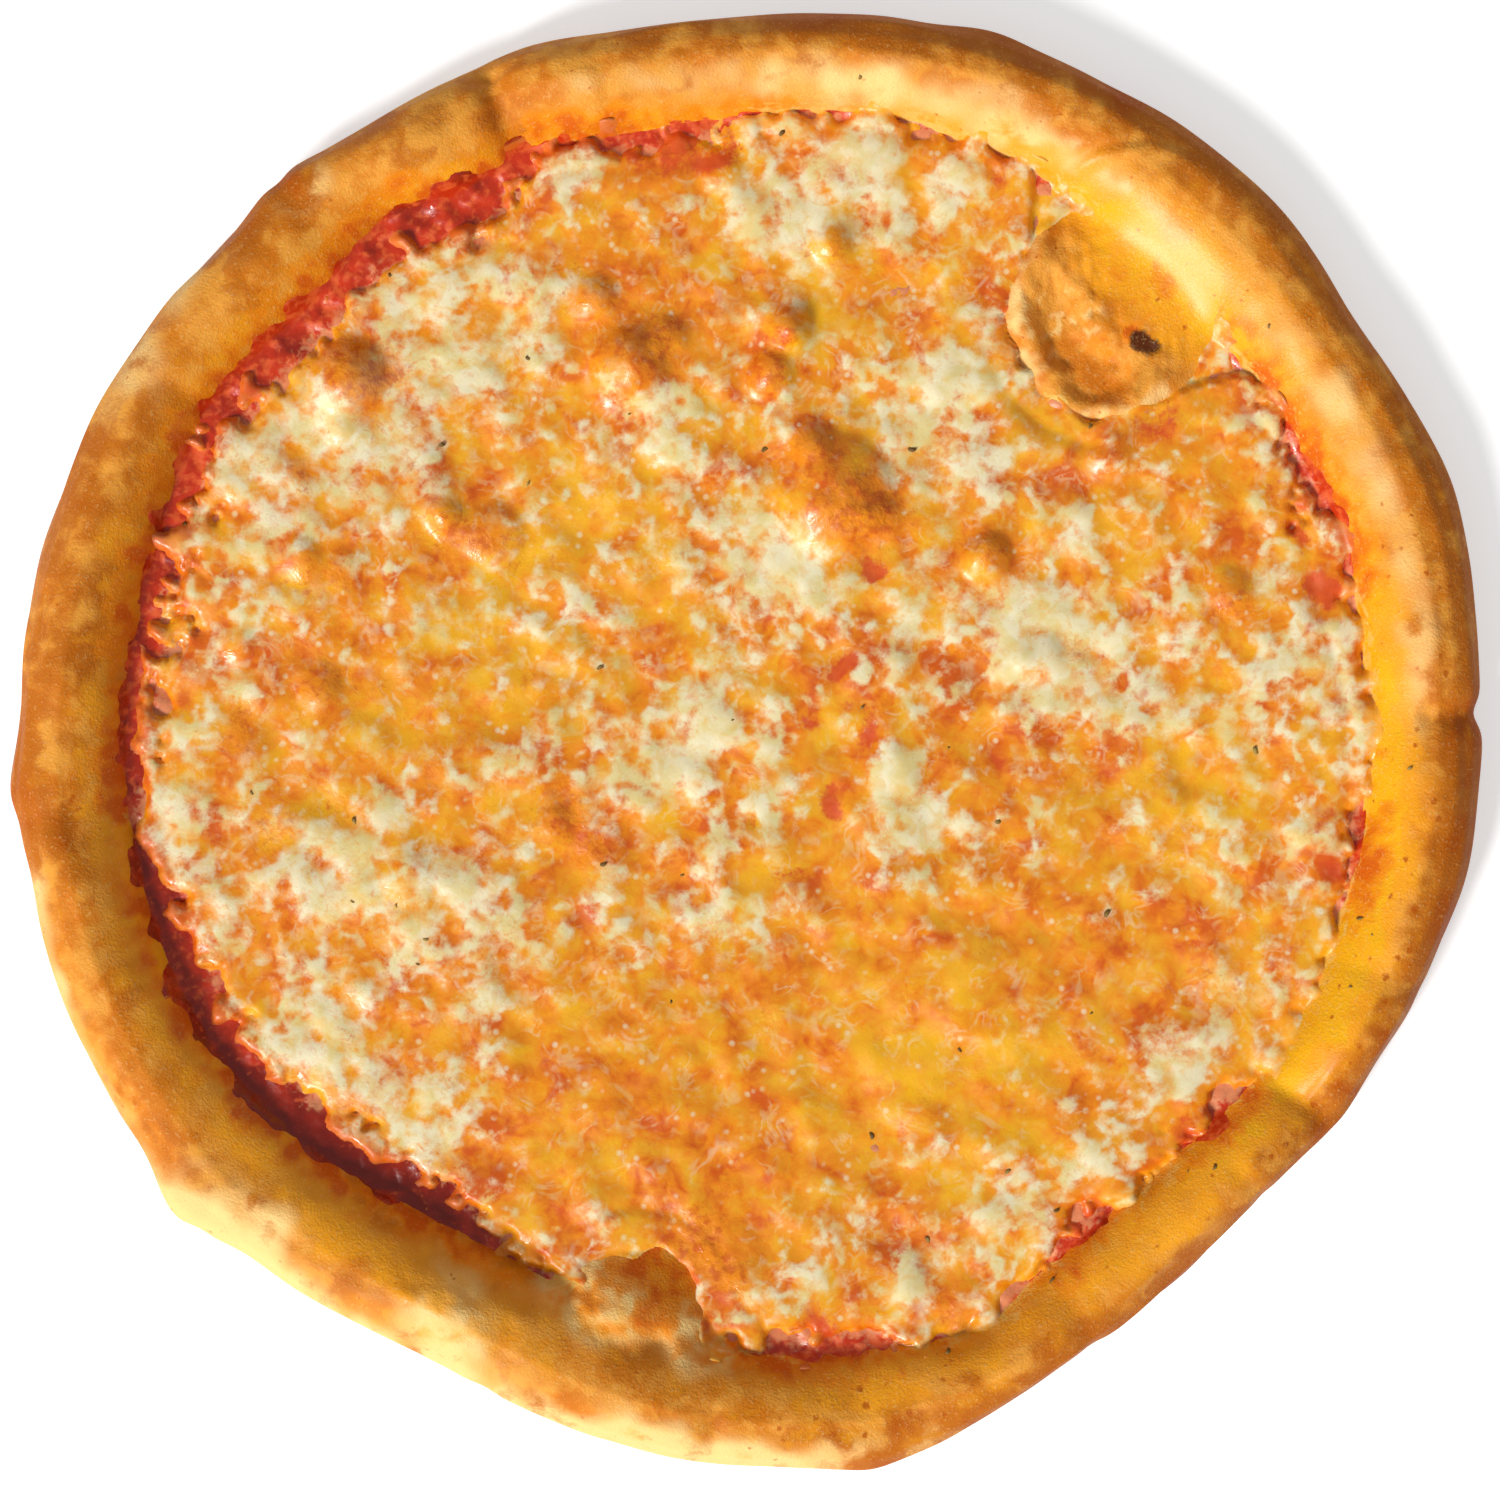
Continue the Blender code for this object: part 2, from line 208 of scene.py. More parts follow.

# The rim's browned, floury and oily places, with painted shade among the browned ones and painted highlights
# among the floury ones
# The browned marks are partly real browning and partly painted shade: in the creases, on the outer edge at
# the upper right that faces away from the light, and on the left of the rim
TOASTED_AND_SHADED = (
    Arc(62, 154, 17, 4.5, 1.0), Arc(84, 150, 7, 4, 0.6), Arc(28, 154, 8, 4, 0.6), Arc(9, 153, 7, 4, 0.6),
    Arc(354, 151, 8, 5, 0.7), Arc(129, 150, 2.2, 4, 0.8), Arc(134, 148, 2.5, 4, 0.5),
    Arc(184, 151, 2.5, 4, 0.9), Arc(186, 143, 2.2, 4, 0.7), Arc(170, 134, 9, 4, 0.6),
    Arc(150, 133, 4, 4, 0.5), Arc(214, 145, 2.5, 3, 0.7), Arc(202, 135, 3, 3, 0.6),
    Arc(222, 139, 3, 3, 0.3), Arc(280.5, 153, 1.6, 4, 1.0), Arc(267, 138, 1.2, 5, 0.4),
    Arc(327, 138, 1.4, 7, 0.6), Arc(335, 136, 2, 3, 0.5), Arc(315, 142, 12, 3, 0.5),
    Arc(111, 137, 1.6, 8, 0.6), Arc(2.4, 147, 2, 6, 0.5), Arc(252, 142, 2, 3, 0.4),
    Arc(245, 136, 8, 4, 0.25), Arc(300, 143, 5, 4, 0.35), Arc(95, 146, 6, 4, 0.3),
    Arc(300, 149, 14, 6, 0.6), Arc(325, 150, 12, 6, 0.8), Arc(343, 150, 8, 5, 0.6),
    Arc(288, 146, 4, 4, 0.5), Arc(174, 148, 12, 7, 0.50), Arc(155, 147, 8, 7, 0.40),
    Arc(122, 146, 10, 6, 0.35),
)
# The floury marks are partly pale dough and partly painted light: painted highlights on the inner slope at
# the upper right, which faces the light, and paler outer edges on the lower left, which face it
FLOURY_AND_HIGHLIGHT = (
    Arc(255, 144, 9, 4, 0.7), Arc(238, 147, 5, 3, 0.6), Arc(262, 149, 22, 4, 1.0),
    Arc(228, 147, 6, 5, 0.8), Arc(219.5, 153, 3, 4, 0.9), Arc(195, 151, 20, 3, 0.6),
    Arc(142, 149, 10, 4, 0.5), Arc(128.6, 146.5, 1.6, 3, 0.9), Arc(78, 137, 14, 4, 0.8),
    Arc(5, 137, 6, 4, 0.5), Arc(34, 139, 6, 3.5, 0.5), Arc(18, 141, 9, 3, 0.5),
    Arc(242, 134, 3.5, 6, 0.8), Arc(225, 137, 2.5, 4, 0.7), Arc(150, 145, 3, 3, 0.4),
    Arc(104, 138, 4, 4, 0.3), Arc(61, 137, 5, 3.5, 0.5),
)
OILY = (
    Arc(325, 129, 26, 5.5, 1.0), Arc(346, 131, 13, 6, 1.0), Arc(12, 131, 13, 5, 0.9),
    Arc(46, 130, 9, 8, 1.3), Arc(54, 134, 6, 4, 0.7), Arc(100, 130, 12, 3.5, 0.9),
    Arc(124, 128, 8, 4.5, 0.8), Arc(150, 131, 10, 4, 0.8), Arc(178, 131, 14, 4, 0.6),
    Arc(196, 128, 6, 4, 0.9), Arc(226, 128, 16, 5, 0.5), Arc(283, 134, 8, 7, 0.6),
    Arc(256, 118, 9, 6, 0.45), Arc(70, 135, 8, 2.5, 0.6), Arc(240, 131, 13, 5, 0.35),
    Arc(208, 131, 12, 5, 0.35),
)
SPECKLED = (
    Arc(283, 139, 8, 6, 1.0), Arc(330, 139, 8, 7, 0.7), Arc(350, 142, 10, 6, 0.7), Arc(8, 143, 8, 5, 0.6),
    Arc(45, 122, 7, 7, 0.5), Arc(186, 141, 4, 4, 0.5), Arc(312, 139, 6, 4, 0.4),
)
PINCHES = (
    Groove(111.2, 0.8, 2.0, 130, 149), Groove(113.2, 1.4, -0.7, 130, 147),
    Groove(2.4, 0.8, 1.6, 139, 156), Groove(267.3, 0.7, 0.9, 137, 147), Groove(327.3, 0.8, 1.2, 130, 144),
    Groove(281.5, 2.0, 0.7, 145, 156), Groove(102.0, 0.6, 0.5, 132, 144),
    Groove(148.0, 0.7, 0.5, 130, 142), Groove(186.0, 1.1, 0.8, 138, 156),
    Groove(129.8, 0.8, 0.7, 144, 156), Groove(319.0, 0.6, 0.4, 132, 142),
    Groove(221.5, 0.9, 0.8, 145, 156), Groove(88.0, 0.5, 0.35, 131, 142),
    Groove(81.5, 0.5, 0.3, 131, 142), Groove(94.5, 0.5, 0.3, 132, 142), Groove(248.0, 0.9, 0.7, 128, 144),
    Groove(300.0, 0.9, 0.5, 130, 146), Groove(340.0, 0.8, 0.5, 130, 148),
)
# The lip of folded dough beside the broad blister, as points in mm
FOLD_LINE = ((61, 108), (64, 117), (72, 122), (83, 124), (95, 120.5), (107, 111))

# Where the dough tore and puffed into pale bulges, and the dips beside them
BULGES = (
    Mark(-68, -113, 6, 1.8), Mark(-60, -116, 7, 2.0), Mark(-35, -110, 7, 3.0), Mark(-27, -116, 8, 2.6),
    Mark(-10, -123, 6, 2.6), Mark(-15, -107, 6, 1.2), Mark(-93, -95, 6, 1.3), Mark(-43, -112, 4, -2.6),
    Mark(-18, -123, 3, -1.6), Mark(1, -114, 5, -1.6),
)
# The two blisters: middle and radius in mm
BROAD_BLISTER = Mark(75.3, 89.6, 21.5, 1.0)
SMALL_BLISTER = Mark(-22.5, -119.0, 14.5, 1.0)
CHARRED = (Mark(81.5, 83.0, 2.6, 1.5), Mark(85.0, 81.5, 2.2, 0.9), Mark(-6.9, -113.6, 2.0, 0.6))


def linear(red: float, green: float, blue: float) -> Colour:
    """Turns a colour written as 0 to 255 into the linear values that a shader takes."""
    parts = [value / 255 for value in (red, green, blue)]
    return tuple(p / 12.92 if p <= 0.04045 else ((p + 0.055) / 1.055) ** 2.4 for p in parts)


class Tone(Enum):
    """The food's colours, as linear values."""

    IVORY = linear(238, 228, 190)
    CREAM = linear(226, 208, 142)
    PALE_GOLD = linear(232, 190, 98)
    GOLD = linear(238, 168, 30)
    ORANGE = linear(234, 136, 16)
    RUST = linear(212, 92, 12)
    # The roast colour also serves as painted shade on the cheese bubbles
    ROAST_AND_SHADE = linear(204, 92, 16)
    OIL = linear(242, 180, 12)
    TOMATO = linear(196, 50, 14)
    TOMATO_DARK = linear(134, 24, 4)
    TOMATO_PALE = linear(226, 98, 40)
    PINK = linear(232, 172, 120)
    DOUGH = linear(232, 156, 58)
    DOUGH_DEEP = linear(210, 118, 22)
    # The two toast colours also serve as painted shade on the rim
    TOAST_AND_SHADE = linear(190, 104, 20)
    DARK_TOAST_AND_SHADE = linear(180, 86, 4)
    # The floury colour also serves for painted highlights on the rim
    FLOUR_AND_HIGHLIGHT = linear(248, 206, 132)
    CRUST_OIL = linear(246, 164, 22)
    CHAR = linear(72, 26, 10)
    HERB = linear(104, 72, 22)
    HERB_PALE = linear(156, 128, 56)


def smooth(values: np.ndarray, low: float, high: float) -> np.ndarray:
    """A soft step from 0 at low to 1 at high."""
    t = np.clip((values - low) / (high - low), 0, 1)
    return t * t * (3 - 2 * t)


def ring_bell(angles: np.ndarray, middle: float, spread: float) -> np.ndarray:
    """A bell curve about an angle, which closes on itself round the circle."""
    away = (angles - middle + 180) % 360 - 180
    return np.exp(-0.5 * (away / spread) ** 2)


@dataclass
class Tray:
    """A square of fine cells under the pizza, for patterns that are worked out before they reach a mesh."""

    half: float = 0.164
    cell: float = 0.0004
    x: np.ndarray = field(init=False)
    y: np.ndarray = field(init=False)

    def __post_init__(self) -> None:
        """Sets out the cells' middles."""
        self.count = round(2 * self.half / self.cell)
        line = (np.arange(self.count) + 0.5) * self.cell - self.half
        self.x, self.y = np.meshgrid(line, line)
        turns = np.fft.fftfreq(self.count, self.cell)
        self.turns = turns[:, None] ** 2 + np.fft.rfftfreq(self.count, self.cell)[None, :] ** 2

    def blur(self, grid: np.ndarray, radius: float) -> np.ndarray:
        """Softens a grid by a bell curve of that standard radius."""
        spread = np.exp(-2 * (math.pi * radius) ** 2 * self.turns)
        return np.fft.irfft2(np.fft.rfft2(grid) * spread, s=grid.shape)

    def noise(self, seed: int, size: float) -> np.ndarray:
        """Soft random lumps about that size across, with a mean of 0 and a standard deviation of 1.

        Args:
            seed: The random seed.
            size: About how wide each lump is, in metres.

        Returns:
            The noise.
        """
        rough = np.random.default_rng(seed).standard_normal((self.count, self.count))
        lumps = self.blur(rough, size / 4)
        return (lumps - lumps.mean()) / lumps.std()

    def marks(self, marks: tuple[Mark, ...], ragged: float = 0.0, seed: int = 0) -> np.ndarray:
        """The sum of soft round marks, whose edges wander when ragged is above 0.

        Args:
            marks: The marks.
            ragged: How far the edges wander, in metres for marks and in mm for arcs.
            seed: The random seed.

        Returns:
            The grid of sums.
        """
        total = np.zeros_like(self.x)
        x, y = self.x, self.y
        if ragged:
            x = x + ragged * self.noise(seed, 0.009)
            y = y + ragged * self.noise(seed + 1, 0.009)
        for mark in marks:
            away = ((x - mark.x * MM) ** 2 + (y - mark.y * MM) ** 2) / (mark.radius * MM) ** 2
            total += mark.amount * np.exp(-1.1 * away)
        return total

    def arcs(self, arcs: tuple[Arc, ...], ragged: float = 0.0, seed: int = 0) -> np.ndarray:
        """The sum of soft marks that follow the rim.

        Args:
            arcs: The arcs.
            ragged: How far the edges wander, in metres for marks and in mm for arcs.
            seed: The random seed.

        Returns:
            The grid.
        """
        radius = np.hypot(self.x, self.y) / MM
        angle = np.degrees(np.arctan2(self.y, self.x))
        if ragged:
            radius = radius + ragged * self.noise(seed, 0.008)
            angle = angle + 0.5 * ragged * self.noise(seed + 1, 0.008)
        total = np.zeros_like(self.x)
        for arc in arcs:
            across = np.exp(-0.5 * ((radius - arc.radius) / arc.width) ** 2)
            total += arc.amount * across * ring_bell(angle, arc.angle, arc.spread)
        return total

    def mounds(self, bubbles: tuple[Mark, ...]) -> np.ndarray:
        """Round mounds whose amounts are their heights.

        Args:
            bubbles: The bubbles, with heights as amounts.

        Returns:
            The grid of heights.
        """
        total = np.zeros_like(self.x)
        for bubble in bubbles:
            away = ((self.x / MM - bubble.x) ** 2 + (self.y / MM - bubble.y) ** 2) / bubble.radius**2
            total += bubble.amount * np.clip(1 - away, 0, 1) ** 0.9
        return total

    def around(self, level: float, arcs: tuple[Arc, ...]) -> np.ndarray:
        """A level that changes only with the angle, for every cell."""
        angle = np.degrees(np.arctan2(self.y, self.x))
        return level + sum(arc.amount * ring_bell(angle, arc.angle, arc.spread) for arc in arcs)

    def drop(self, x: np.ndarray, y: np.ndarray, weights: np.ndarray) -> np.ndarray:
        """Adds weights into the cells at the given places.

        Args:
            x: The places along X, in metres.
            y: The places along Y, in metres.
            weights: What each place adds.

        Returns:
            The grid of sums.
        """
        column = np.clip(((x + self.half) / self.cell).astype(int), 0, self.count - 1)
        row = np.clip(((y + self.half) / self.cell).astype(int), 0, self.count - 1)
        cells = np.bincount(row * self.count + column, weights, self.count**2)
        return cells.reshape(self.count, self.count)

    def read(self, grid: np.ndarray, x: np.ndarray, y: np.ndarray) -> np.ndarray:
        """A grid's values at the given places, evened out between cells.

        Args:
            grid: The grid.
            x: The places along X, in metres.
            y: The places along Y, in metres.

        Returns:
            A value for each place.
        """
        u = np.clip((x + self.half) / self.cell - 0.5, 0, self.count - 1.001)
        v = np.clip((y + self.half) / self.cell - 0.5, 0, self.count - 1.001)
        i, j = v.astype(int), u.astype(int)
        a, b = v - i, u - j
        upper = grid[i, j] * (1 - b) + grid[i, j + 1] * b
        lower = grid[i + 1, j] * (1 - b) + grid[i + 1, j + 1] * b
        return upper * (1 - a) + lower * a


class Skin:
    """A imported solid's surface, which the fine mesh takes its place and size from."""

    def __init__(self, node: bpy.types.Object) -> None:
        """Keeps the node's faces for casting rays.

        Args:
            node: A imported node, whose mesh is left as it is.
        """
        mesh = node.data
        self.points = np.empty(len(mesh.vertices) * 3)
        mesh.vertices.foreach_get("co", self.points)
        self.points = self.points.reshape(-1, 3)
        faces = [tuple(face.vertices) for face in mesh.polygons]
        self.tree = BVHTree.FromPolygons([Vector(point) for point in self.points], faces)

    def height(self, x: float, y: float) -> float:
        """The height of the surface under a place, or 0 beside the solid."""
        hit = self.tree.ray_cast(Vector((x, y, 0.1)), Vector((0, 0, -1)))[0]
        return hit.z if hit else 0.0

    def reach(self, start: Vector, way: Vector) -> float:
        """How far it is from a point inside the solid to its surface."""
        distance = self.tree.ray_cast(start, way)[3]
        return distance if distance is not None else 0.0

    def coarse_heights(self, half: float) -> tuple[Tray, np.ndarray]:
        """Reads the solid's height under every cell of a coarser tray.

        Args:
            half: Half the tray's side, in metres.

        Returns:
            The tray and its grid of heights.
        """
        coarse = Tray(half, COARSE_CELL)
        rows = [[self.height(x, y) for x in coarse.x[0]] for y in coarse.y[:, 0]]
        return coarse, np.array(rows)


def ring_blur(values: np.ndarray, spread: float) -> np.ndarray:
    """Softens values round a closed ring, along the first axis, by a bell curve in steps.

    Args:
        values: The values, along the first axis.
        spread: How far to soften, in steps.

    Returns:
        The softened values.
    """
    turns = np.fft.rfftfreq(len(values))
    bell = np.exp(-2 * (math.pi * spread * turns) ** 2)
    shape = (len(bell),) + (1,) * (values.ndim - 1)
    return np.fft.irfft(np.fft.rfft(values, axis=0) * bell.reshape(shape), n=len(values), axis=0)


def ring_noise(seed: int, count: int, size: float) -> np.ndarray:
    """Random swings round a closed ring, about size steps long, with a standard deviation of 1."""
    swings = ring_blur(np.random.default_rng(seed).standard_normal(count), size / 4)
    return (swings - swings.mean()) / swings.std()


def make_piece(name: str, points: np.ndarray, faces: np.ndarray, **marks: np.ndarray) -> bpy.types.Object:
    """Makes a smooth-shaded mesh object at the origin.

    Args:
        name: The object's name.
        points: The vertices, in metres.
        faces: Triangles, as indices of vertices.
        marks: Named values for each vertex, which the finish reads.

    Returns:
        The new object, linked to the scene.
    """
    mesh = bpy.data.meshes.new(name)
    mesh.vertices.add(len(points))
    mesh.vertices.foreach_set("co", points.astype(np.float32).ravel())
    mesh.loops.add(faces.size)
    mesh.loops.foreach_set("vertex_index", faces.astype(np.int32).ravel())
    mesh.polygons.add(len(faces))
    mesh.polygons.foreach_set("loop_start", np.arange(0, faces.size, 3, dtype=np.int32))
    mesh.update(calc_edges=True)
    mesh.validate()
    mesh.shade_smooth()
    for key, values in marks.items():
        layer = mesh.attributes.new(key, "FLOAT", "POINT")
        layer.data.foreach_set("value", np.asarray(values, np.float32))
    piece = bpy.data.objects.new(name, mesh)
    bpy.context.scene.collection.objects.link(piece)
    return piece


def strip_faces(rows: int, columns: int) -> np.ndarray:
    """Triangles between closed rings of points that are numbered ring by ring, facing out or up.

    Args:
        rows: How many rings there are.
        columns: How many points each ring has.

    Returns:
        The triangles, as indices of vertices.
    """
    row, column = np.meshgrid(np.arange(rows - 1), np.arange(columns), indexing="ij")
    beside = (column + 1) % columns
    a, b = row * columns + column, row * columns + beside
    c, d = a + columns, b + columns
    quads = np.stack([np.stack([a, c, d], -1), np.stack([a, d, b], -1)], 2)
    return quads.reshape(-1, 3)


def closed_faces(rows: int, columns: int) -> np.ndarray:
    """Triangles of a closed body: its rings, with a fan at each end to the two points after them.

    Args:
        rows: How many rings there are.
        columns: How many points each ring has.

    Returns:
        The triangles, as indices of vertices.
    """
    column = np.arange(columns)
    beside = (column + 1) % columns
    last = (rows - 1) * columns
    upper = np.stack([np.full_like(column, rows * columns), column, beside], -1)
    lower = np.stack([np.full_like(column, rows * columns + 1), last + beside, last + column], -1)
    return np.concatenate([strip_faces(rows, columns), upper, lower])


class Recipe:
    """One finish's nodes, added step by step to a Principled material."""

    def __init__(self, name: str) -> None:
        """Starts a material.

        Args:
            name: The material's name.
        """
        self.material = bpy.data.materials.new(name)
        self.material.use_nodes = True
        self.tree = self.material.node_tree
        self.shader = self.tree.nodes["Principled BSDF"]
        self.place = self.tree.nodes.new("ShaderNodeTexCoord").outputs["Object"]

    def set(self, name: str, value: object) -> None:
        """Sets or links one of the shader's inputs.

        Args:
            name: The name.
            value: A constant or a socket.
        """
        socket = self.shader.inputs[name]
        if isinstance(value, bpy.types.NodeSocket):
            self.tree.links.new(value, socket)
        else:
            socket.default_value = value

    def feed(self, socket: bpy.types.NodeSocket, value: object) -> None:
        """Links a socket or sets a constant on an input of an inner node.

        Args:
            socket: The input to fill.
            value: A constant or a socket.
        """
        if isinstance(value, bpy.types.NodeSocket):
            self.tree.links.new(value, socket)
        elif isinstance(value, Tone):
            socket.default_value = (*value.value, 1)
        else:
            socket.default_value = value

    def mark(self, name: str) -> bpy.types.NodeSocket:
        """One of the mesh's named values.

        Args:
            name: The name.

        Returns:
            Its output.
        """
        node = self.tree.nodes.new("ShaderNodeAttribute")
        node.attribute_name = name
        return node.outputs["Fac"]

    def noise(self, size: float, detail: float = 2.0, warp: float = 0.0) -> bpy.types.NodeSocket:
        """Noise from about 0 to 1 whose lumps are about that size across, in metres.

        Args:
            size: About how wide each lump is, in metres.
            detail: How many finer layers the noise has.
            warp: How far the noise is stirred.

        Returns:
            The noise.
        """
        node = self.tree.nodes.new("ShaderNodeTexNoise")
        node.inputs["Scale"].default_value = 1 / size
        node.inputs["Detail"].default_value = detail
        node.inputs["Distortion"].default_value = warp
        self.tree.links.new(self.place, node.inputs["Vector"])
        return node.outputs["Fac"]

    def swing(self, size: float, detail: float = 2.0, warp: float = 0.0) -> bpy.types.NodeSocket:
        """The same noise, about 0."""
        return self.sum("SUBTRACT", self.noise(size, detail, warp), 0.5)

    def shreds(self) -> bpy.types.NodeSocket:
        """The lumps that the edges of the cheese, the sauce and the dough share."""
        return self.swing(SHRED_SIZE, 3, 1.2)

    def cells(self, size: float) -> bpy.types.NodeSocket:
        """Distance from the middles of random cells of about that size, 0 at each middle.

        Args:
            size: About how wide each lump is, in metres.

        Returns:
            The distance.
        """
        node = self.tree.nodes.new("ShaderNodeTexVoronoi")
        node.inputs["Scale"].default_value = 1 / size
        self.tree.links.new(self.place, node.inputs["Vector"])
        return node.outputs["Distance"]

    def sum(
        self, kind: str, a: object, b: object, c: object = None, clamp: bool = False
    ) -> bpy.types.NodeSocket:
        """One step of arithmetic, such as ADD or MULTIPLY_ADD.

        Args:
            kind: The kind of step.
            a: The first value.
            b: The second value.
            c: The third value, if any.
            clamp: Whether the result stays from 0 to 1.

        Returns:
            The result.
        """
        node = self.tree.nodes.new("ShaderNodeMath")
        node.operation = kind
        node.use_clamp = clamp
        for socket, value in zip(node.inputs, (a, b, c)):
            if value is not None:
                self.feed(socket, value)
        return node.outputs[0]

    def plus(self, value: object, share: object, base: object) -> bpy.types.NodeSocket:
        """A share of one value added to another."""
        return self.sum("MULTIPLY_ADD", value, share, base)

    def times(self, a: object, b: object, clamp: bool = False) -> bpy.types.NodeSocket:
        """One value times another."""
        return self.sum("MULTIPLY", a, b, clamp=clamp)

    def scale(
        self, value: object, low: float, high: float, to_low: float = 0.0, to_high: float = 1.0
    ) -> bpy.types.NodeSocket:
        """Maps a value softly from one range to another.

        Args:
            value: A constant or a socket.
            low: Where the range starts.
            high: Where it ends.
            to_low: The result at its start.
            to_high: The result at its end.

        Returns:
            The mapped value.
        """
        node = self.tree.nodes.new("ShaderNodeMapRange")
        node.interpolation_type = "SMOOTHSTEP"
        names = ("Value", "From Min", "From Max", "To Min", "To Max")
        for name, part in zip(names, (value, low, high, to_low, to_high)):
            self.feed(node.inputs[name], part)
        return node.outputs["Result"]

    def ramp(self, value: object, *stops: tuple[float, Tone]) -> bpy.types.NodeSocket:
        """A colour for each value, between named stops.

        Args:
            value: A constant or a socket.
            stops: Places and tones.

        Returns:
            The colour.
        """
        node = self.tree.nodes.new("ShaderNodeValToRGB")
        elements = node.color_ramp.elements
        while len(elements) < len(stops):
            elements.new(0.5)
        for element, (place, tone) in zip(elements, stops):
            element.position = place
            element.color = (*tone.value, 1)
        self.feed(node.inputs[0], value)
        return node.outputs["Color"]

    def mix(self, share: object, a: object, b: object, kind: str = "MIX") -> bpy.types.NodeSocket:
        """Mixes two colours, or blends the second on the first.

        Args:
            share: How much of the second colour shows.
            a: The first value.
            b: The second value.
            kind: The kind of step.

        Returns:
            The colour.
        """
        node = self.tree.nodes.new("ShaderNodeMix")
        node.data_type = "RGBA"
        node.blend_type = kind
        self.feed(node.inputs[0], share)
        self.feed(node.inputs[6], a)
        self.feed(node.inputs[7], b)
        return node.outputs[2]

    def bump(self, height: object, depth: float, strength: float = 1.0) -> None:
        """Gives the shader a fine relief of that depth, in metres.

        Args:
            height: The relief.
            depth: Its depth, in metres.
            strength: How strongly it shows.
        """
        node = self.tree.nodes.new("ShaderNodeBump")
        node.inputs["Distance"].default_value = depth
        node.inputs["Strength"].default_value = strength
        self.feed(node.inputs["Height"], height)
        self.set("Normal", node.outputs["Normal"])


@dataclass(frozen=True)
class CheeseFinish:
    """Melted cheese: cream where thick, orange where thin, with oil, sauce and roasted places, and painted
    shade on the bubbles' sides away from the light.
    """

    fine_size: float = 0.0011
    speck_size: float = 0.0006
    gloss: float = 0.34

    def make(self) -> bpy.types.Material:
        """Builds the material.

        Returns:
            The material.
        """
        recipe = Recipe("melted cheese")
        fine = recipe.swing(self.fine_size, 3, 0.9)
        wide = recipe.shreds()
        oily = recipe.plus(wide, 0.45, recipe.noise(0.010, 3, 0.8))
        oily = recipe.plus(recipe.mark("oil"), 0.22, oily)
        stops = ((0.28, Tone.RUST), (0.46, Tone.ORANGE), (0.68, Tone.GOLD), (0.95, Tone.OIL))
        colour = recipe.ramp(oily, *stops)
        cheese = recipe.mix(recipe.scale(recipe.noise(0.006, 3, 0.6), 0.34, 0.64), Tone.CREAM, Tone.IVORY)
        warm = recipe.scale(recipe.noise(0.0042, 3, 1.0), 0.50, 0.66, 0.0, 0.5)
        cheese = recipe.mix(warm, cheese, Tone.PALE_GOLD)
        thick = recipe.plus(fine, 0.42, recipe.mark("melt"))
        thick = recipe.plus(wide, 0.50, thick)
        thick = recipe.scale(thick, 0.32, 0.80, 0.0, 0.96)
        course = recipe.sum("ABSOLUTE", recipe.swing(0.0070, 2, 1.4), None)
        threads = recipe.scale(course, 0.010, 0.080, 0.30, 0.0)
        threads = recipe.times(threads, recipe.scale(recipe.noise(0.0045, 2), 0.46, 0.64))
        dots = recipe.scale(recipe.cells(0.0030), 0.10, 0.30, 0.6, 0.0)
        dots = recipe.times(dots, recipe.scale(recipe.noise(0.006, 2), 0.48, 0.60))
        thick = recipe.sum("MAXIMUM", thick, recipe.sum("MAXIMUM", threads, dots))
        colour = recipe.mix(thick, colour, cheese)
        rim = recipe.plus(wide, 9.0, recipe.mark("inside"))
        rim = recipe.scale(recipe.plus(fine, 4.0, rim), 0.0, 4.5, 0.9, 0.0)
        colour = recipe.mix(rim, colour, recipe.mix(recipe.mark("red"), Tone.CRUST_OIL, Tone.RUST))
        oil = recipe.times(recipe.mark("oil"), recipe.scale(recipe.noise(0.005, 3), 0.42, 0.62))
        colour = recipe.mix(recipe.times(oil, 0.75, clamp=True), colour, Tone.OIL)
        # Browned places, with painted shade on the bubbles' sides away from the light
        roast_and_shade = recipe.plus(fine, 1.0, recipe.mark("brown_and_shade"))
        roast_and_shade = recipe.scale(recipe.plus(wide, 1.0, roast_and_shade), 0.25, 0.85)
        roast_and_shade_tone = recipe.mix(recipe.scale(recipe.noise(0.0024, 3), 0.44, 0.66), Tone.ORANGE, Tone.ROAST_AND_SHADE)
        colour = recipe.mix(recipe.times(roast_and_shade, 0.85), colour, roast_and_shade_tone)
        ragged = recipe.plus(fine, 0.9, recipe.mark("sauce"))
        ragged = recipe.plus(wide, 0.6, ragged)
        tomato = recipe.mix(recipe.noise(0.0016, 2), Tone.TOMATO, Tone.TOMATO_PALE)
        colour = recipe.mix(recipe.scale(ragged, 0.40, 0.95, 0.0, 0.92), colour, tomato)
        speck = recipe.scale(recipe.noise(self.speck_size, 1), 0.72, 0.80, 0.0, 0.35)
        colour = recipe.mix(speck, colour, Tone.RUST)
        recipe.set("Base Color", colour)
        gloss = recipe.scale(recipe.noise(0.004, 3), 0.3, 0.7, self.gloss - 0.12, self.gloss + 0.20)
        recipe.set("Roughness", gloss)
        recipe.set("IOR", 1.45)
        recipe.set("Subsurface Weight", 0.15)
        recipe.set("Subsurface Scale", 0.002)
        recipe.set("Subsurface Radius", (1.0, 0.6, 0.3))
        wrinkled = recipe.plus(recipe.mark("brown_and_shade"), 1.1, 0.25)
        recipe.bump(recipe.times(recipe.noise(0.0012, 2, 0.6), wrinkled), 0.00022, 0.8)
        return recipe.material


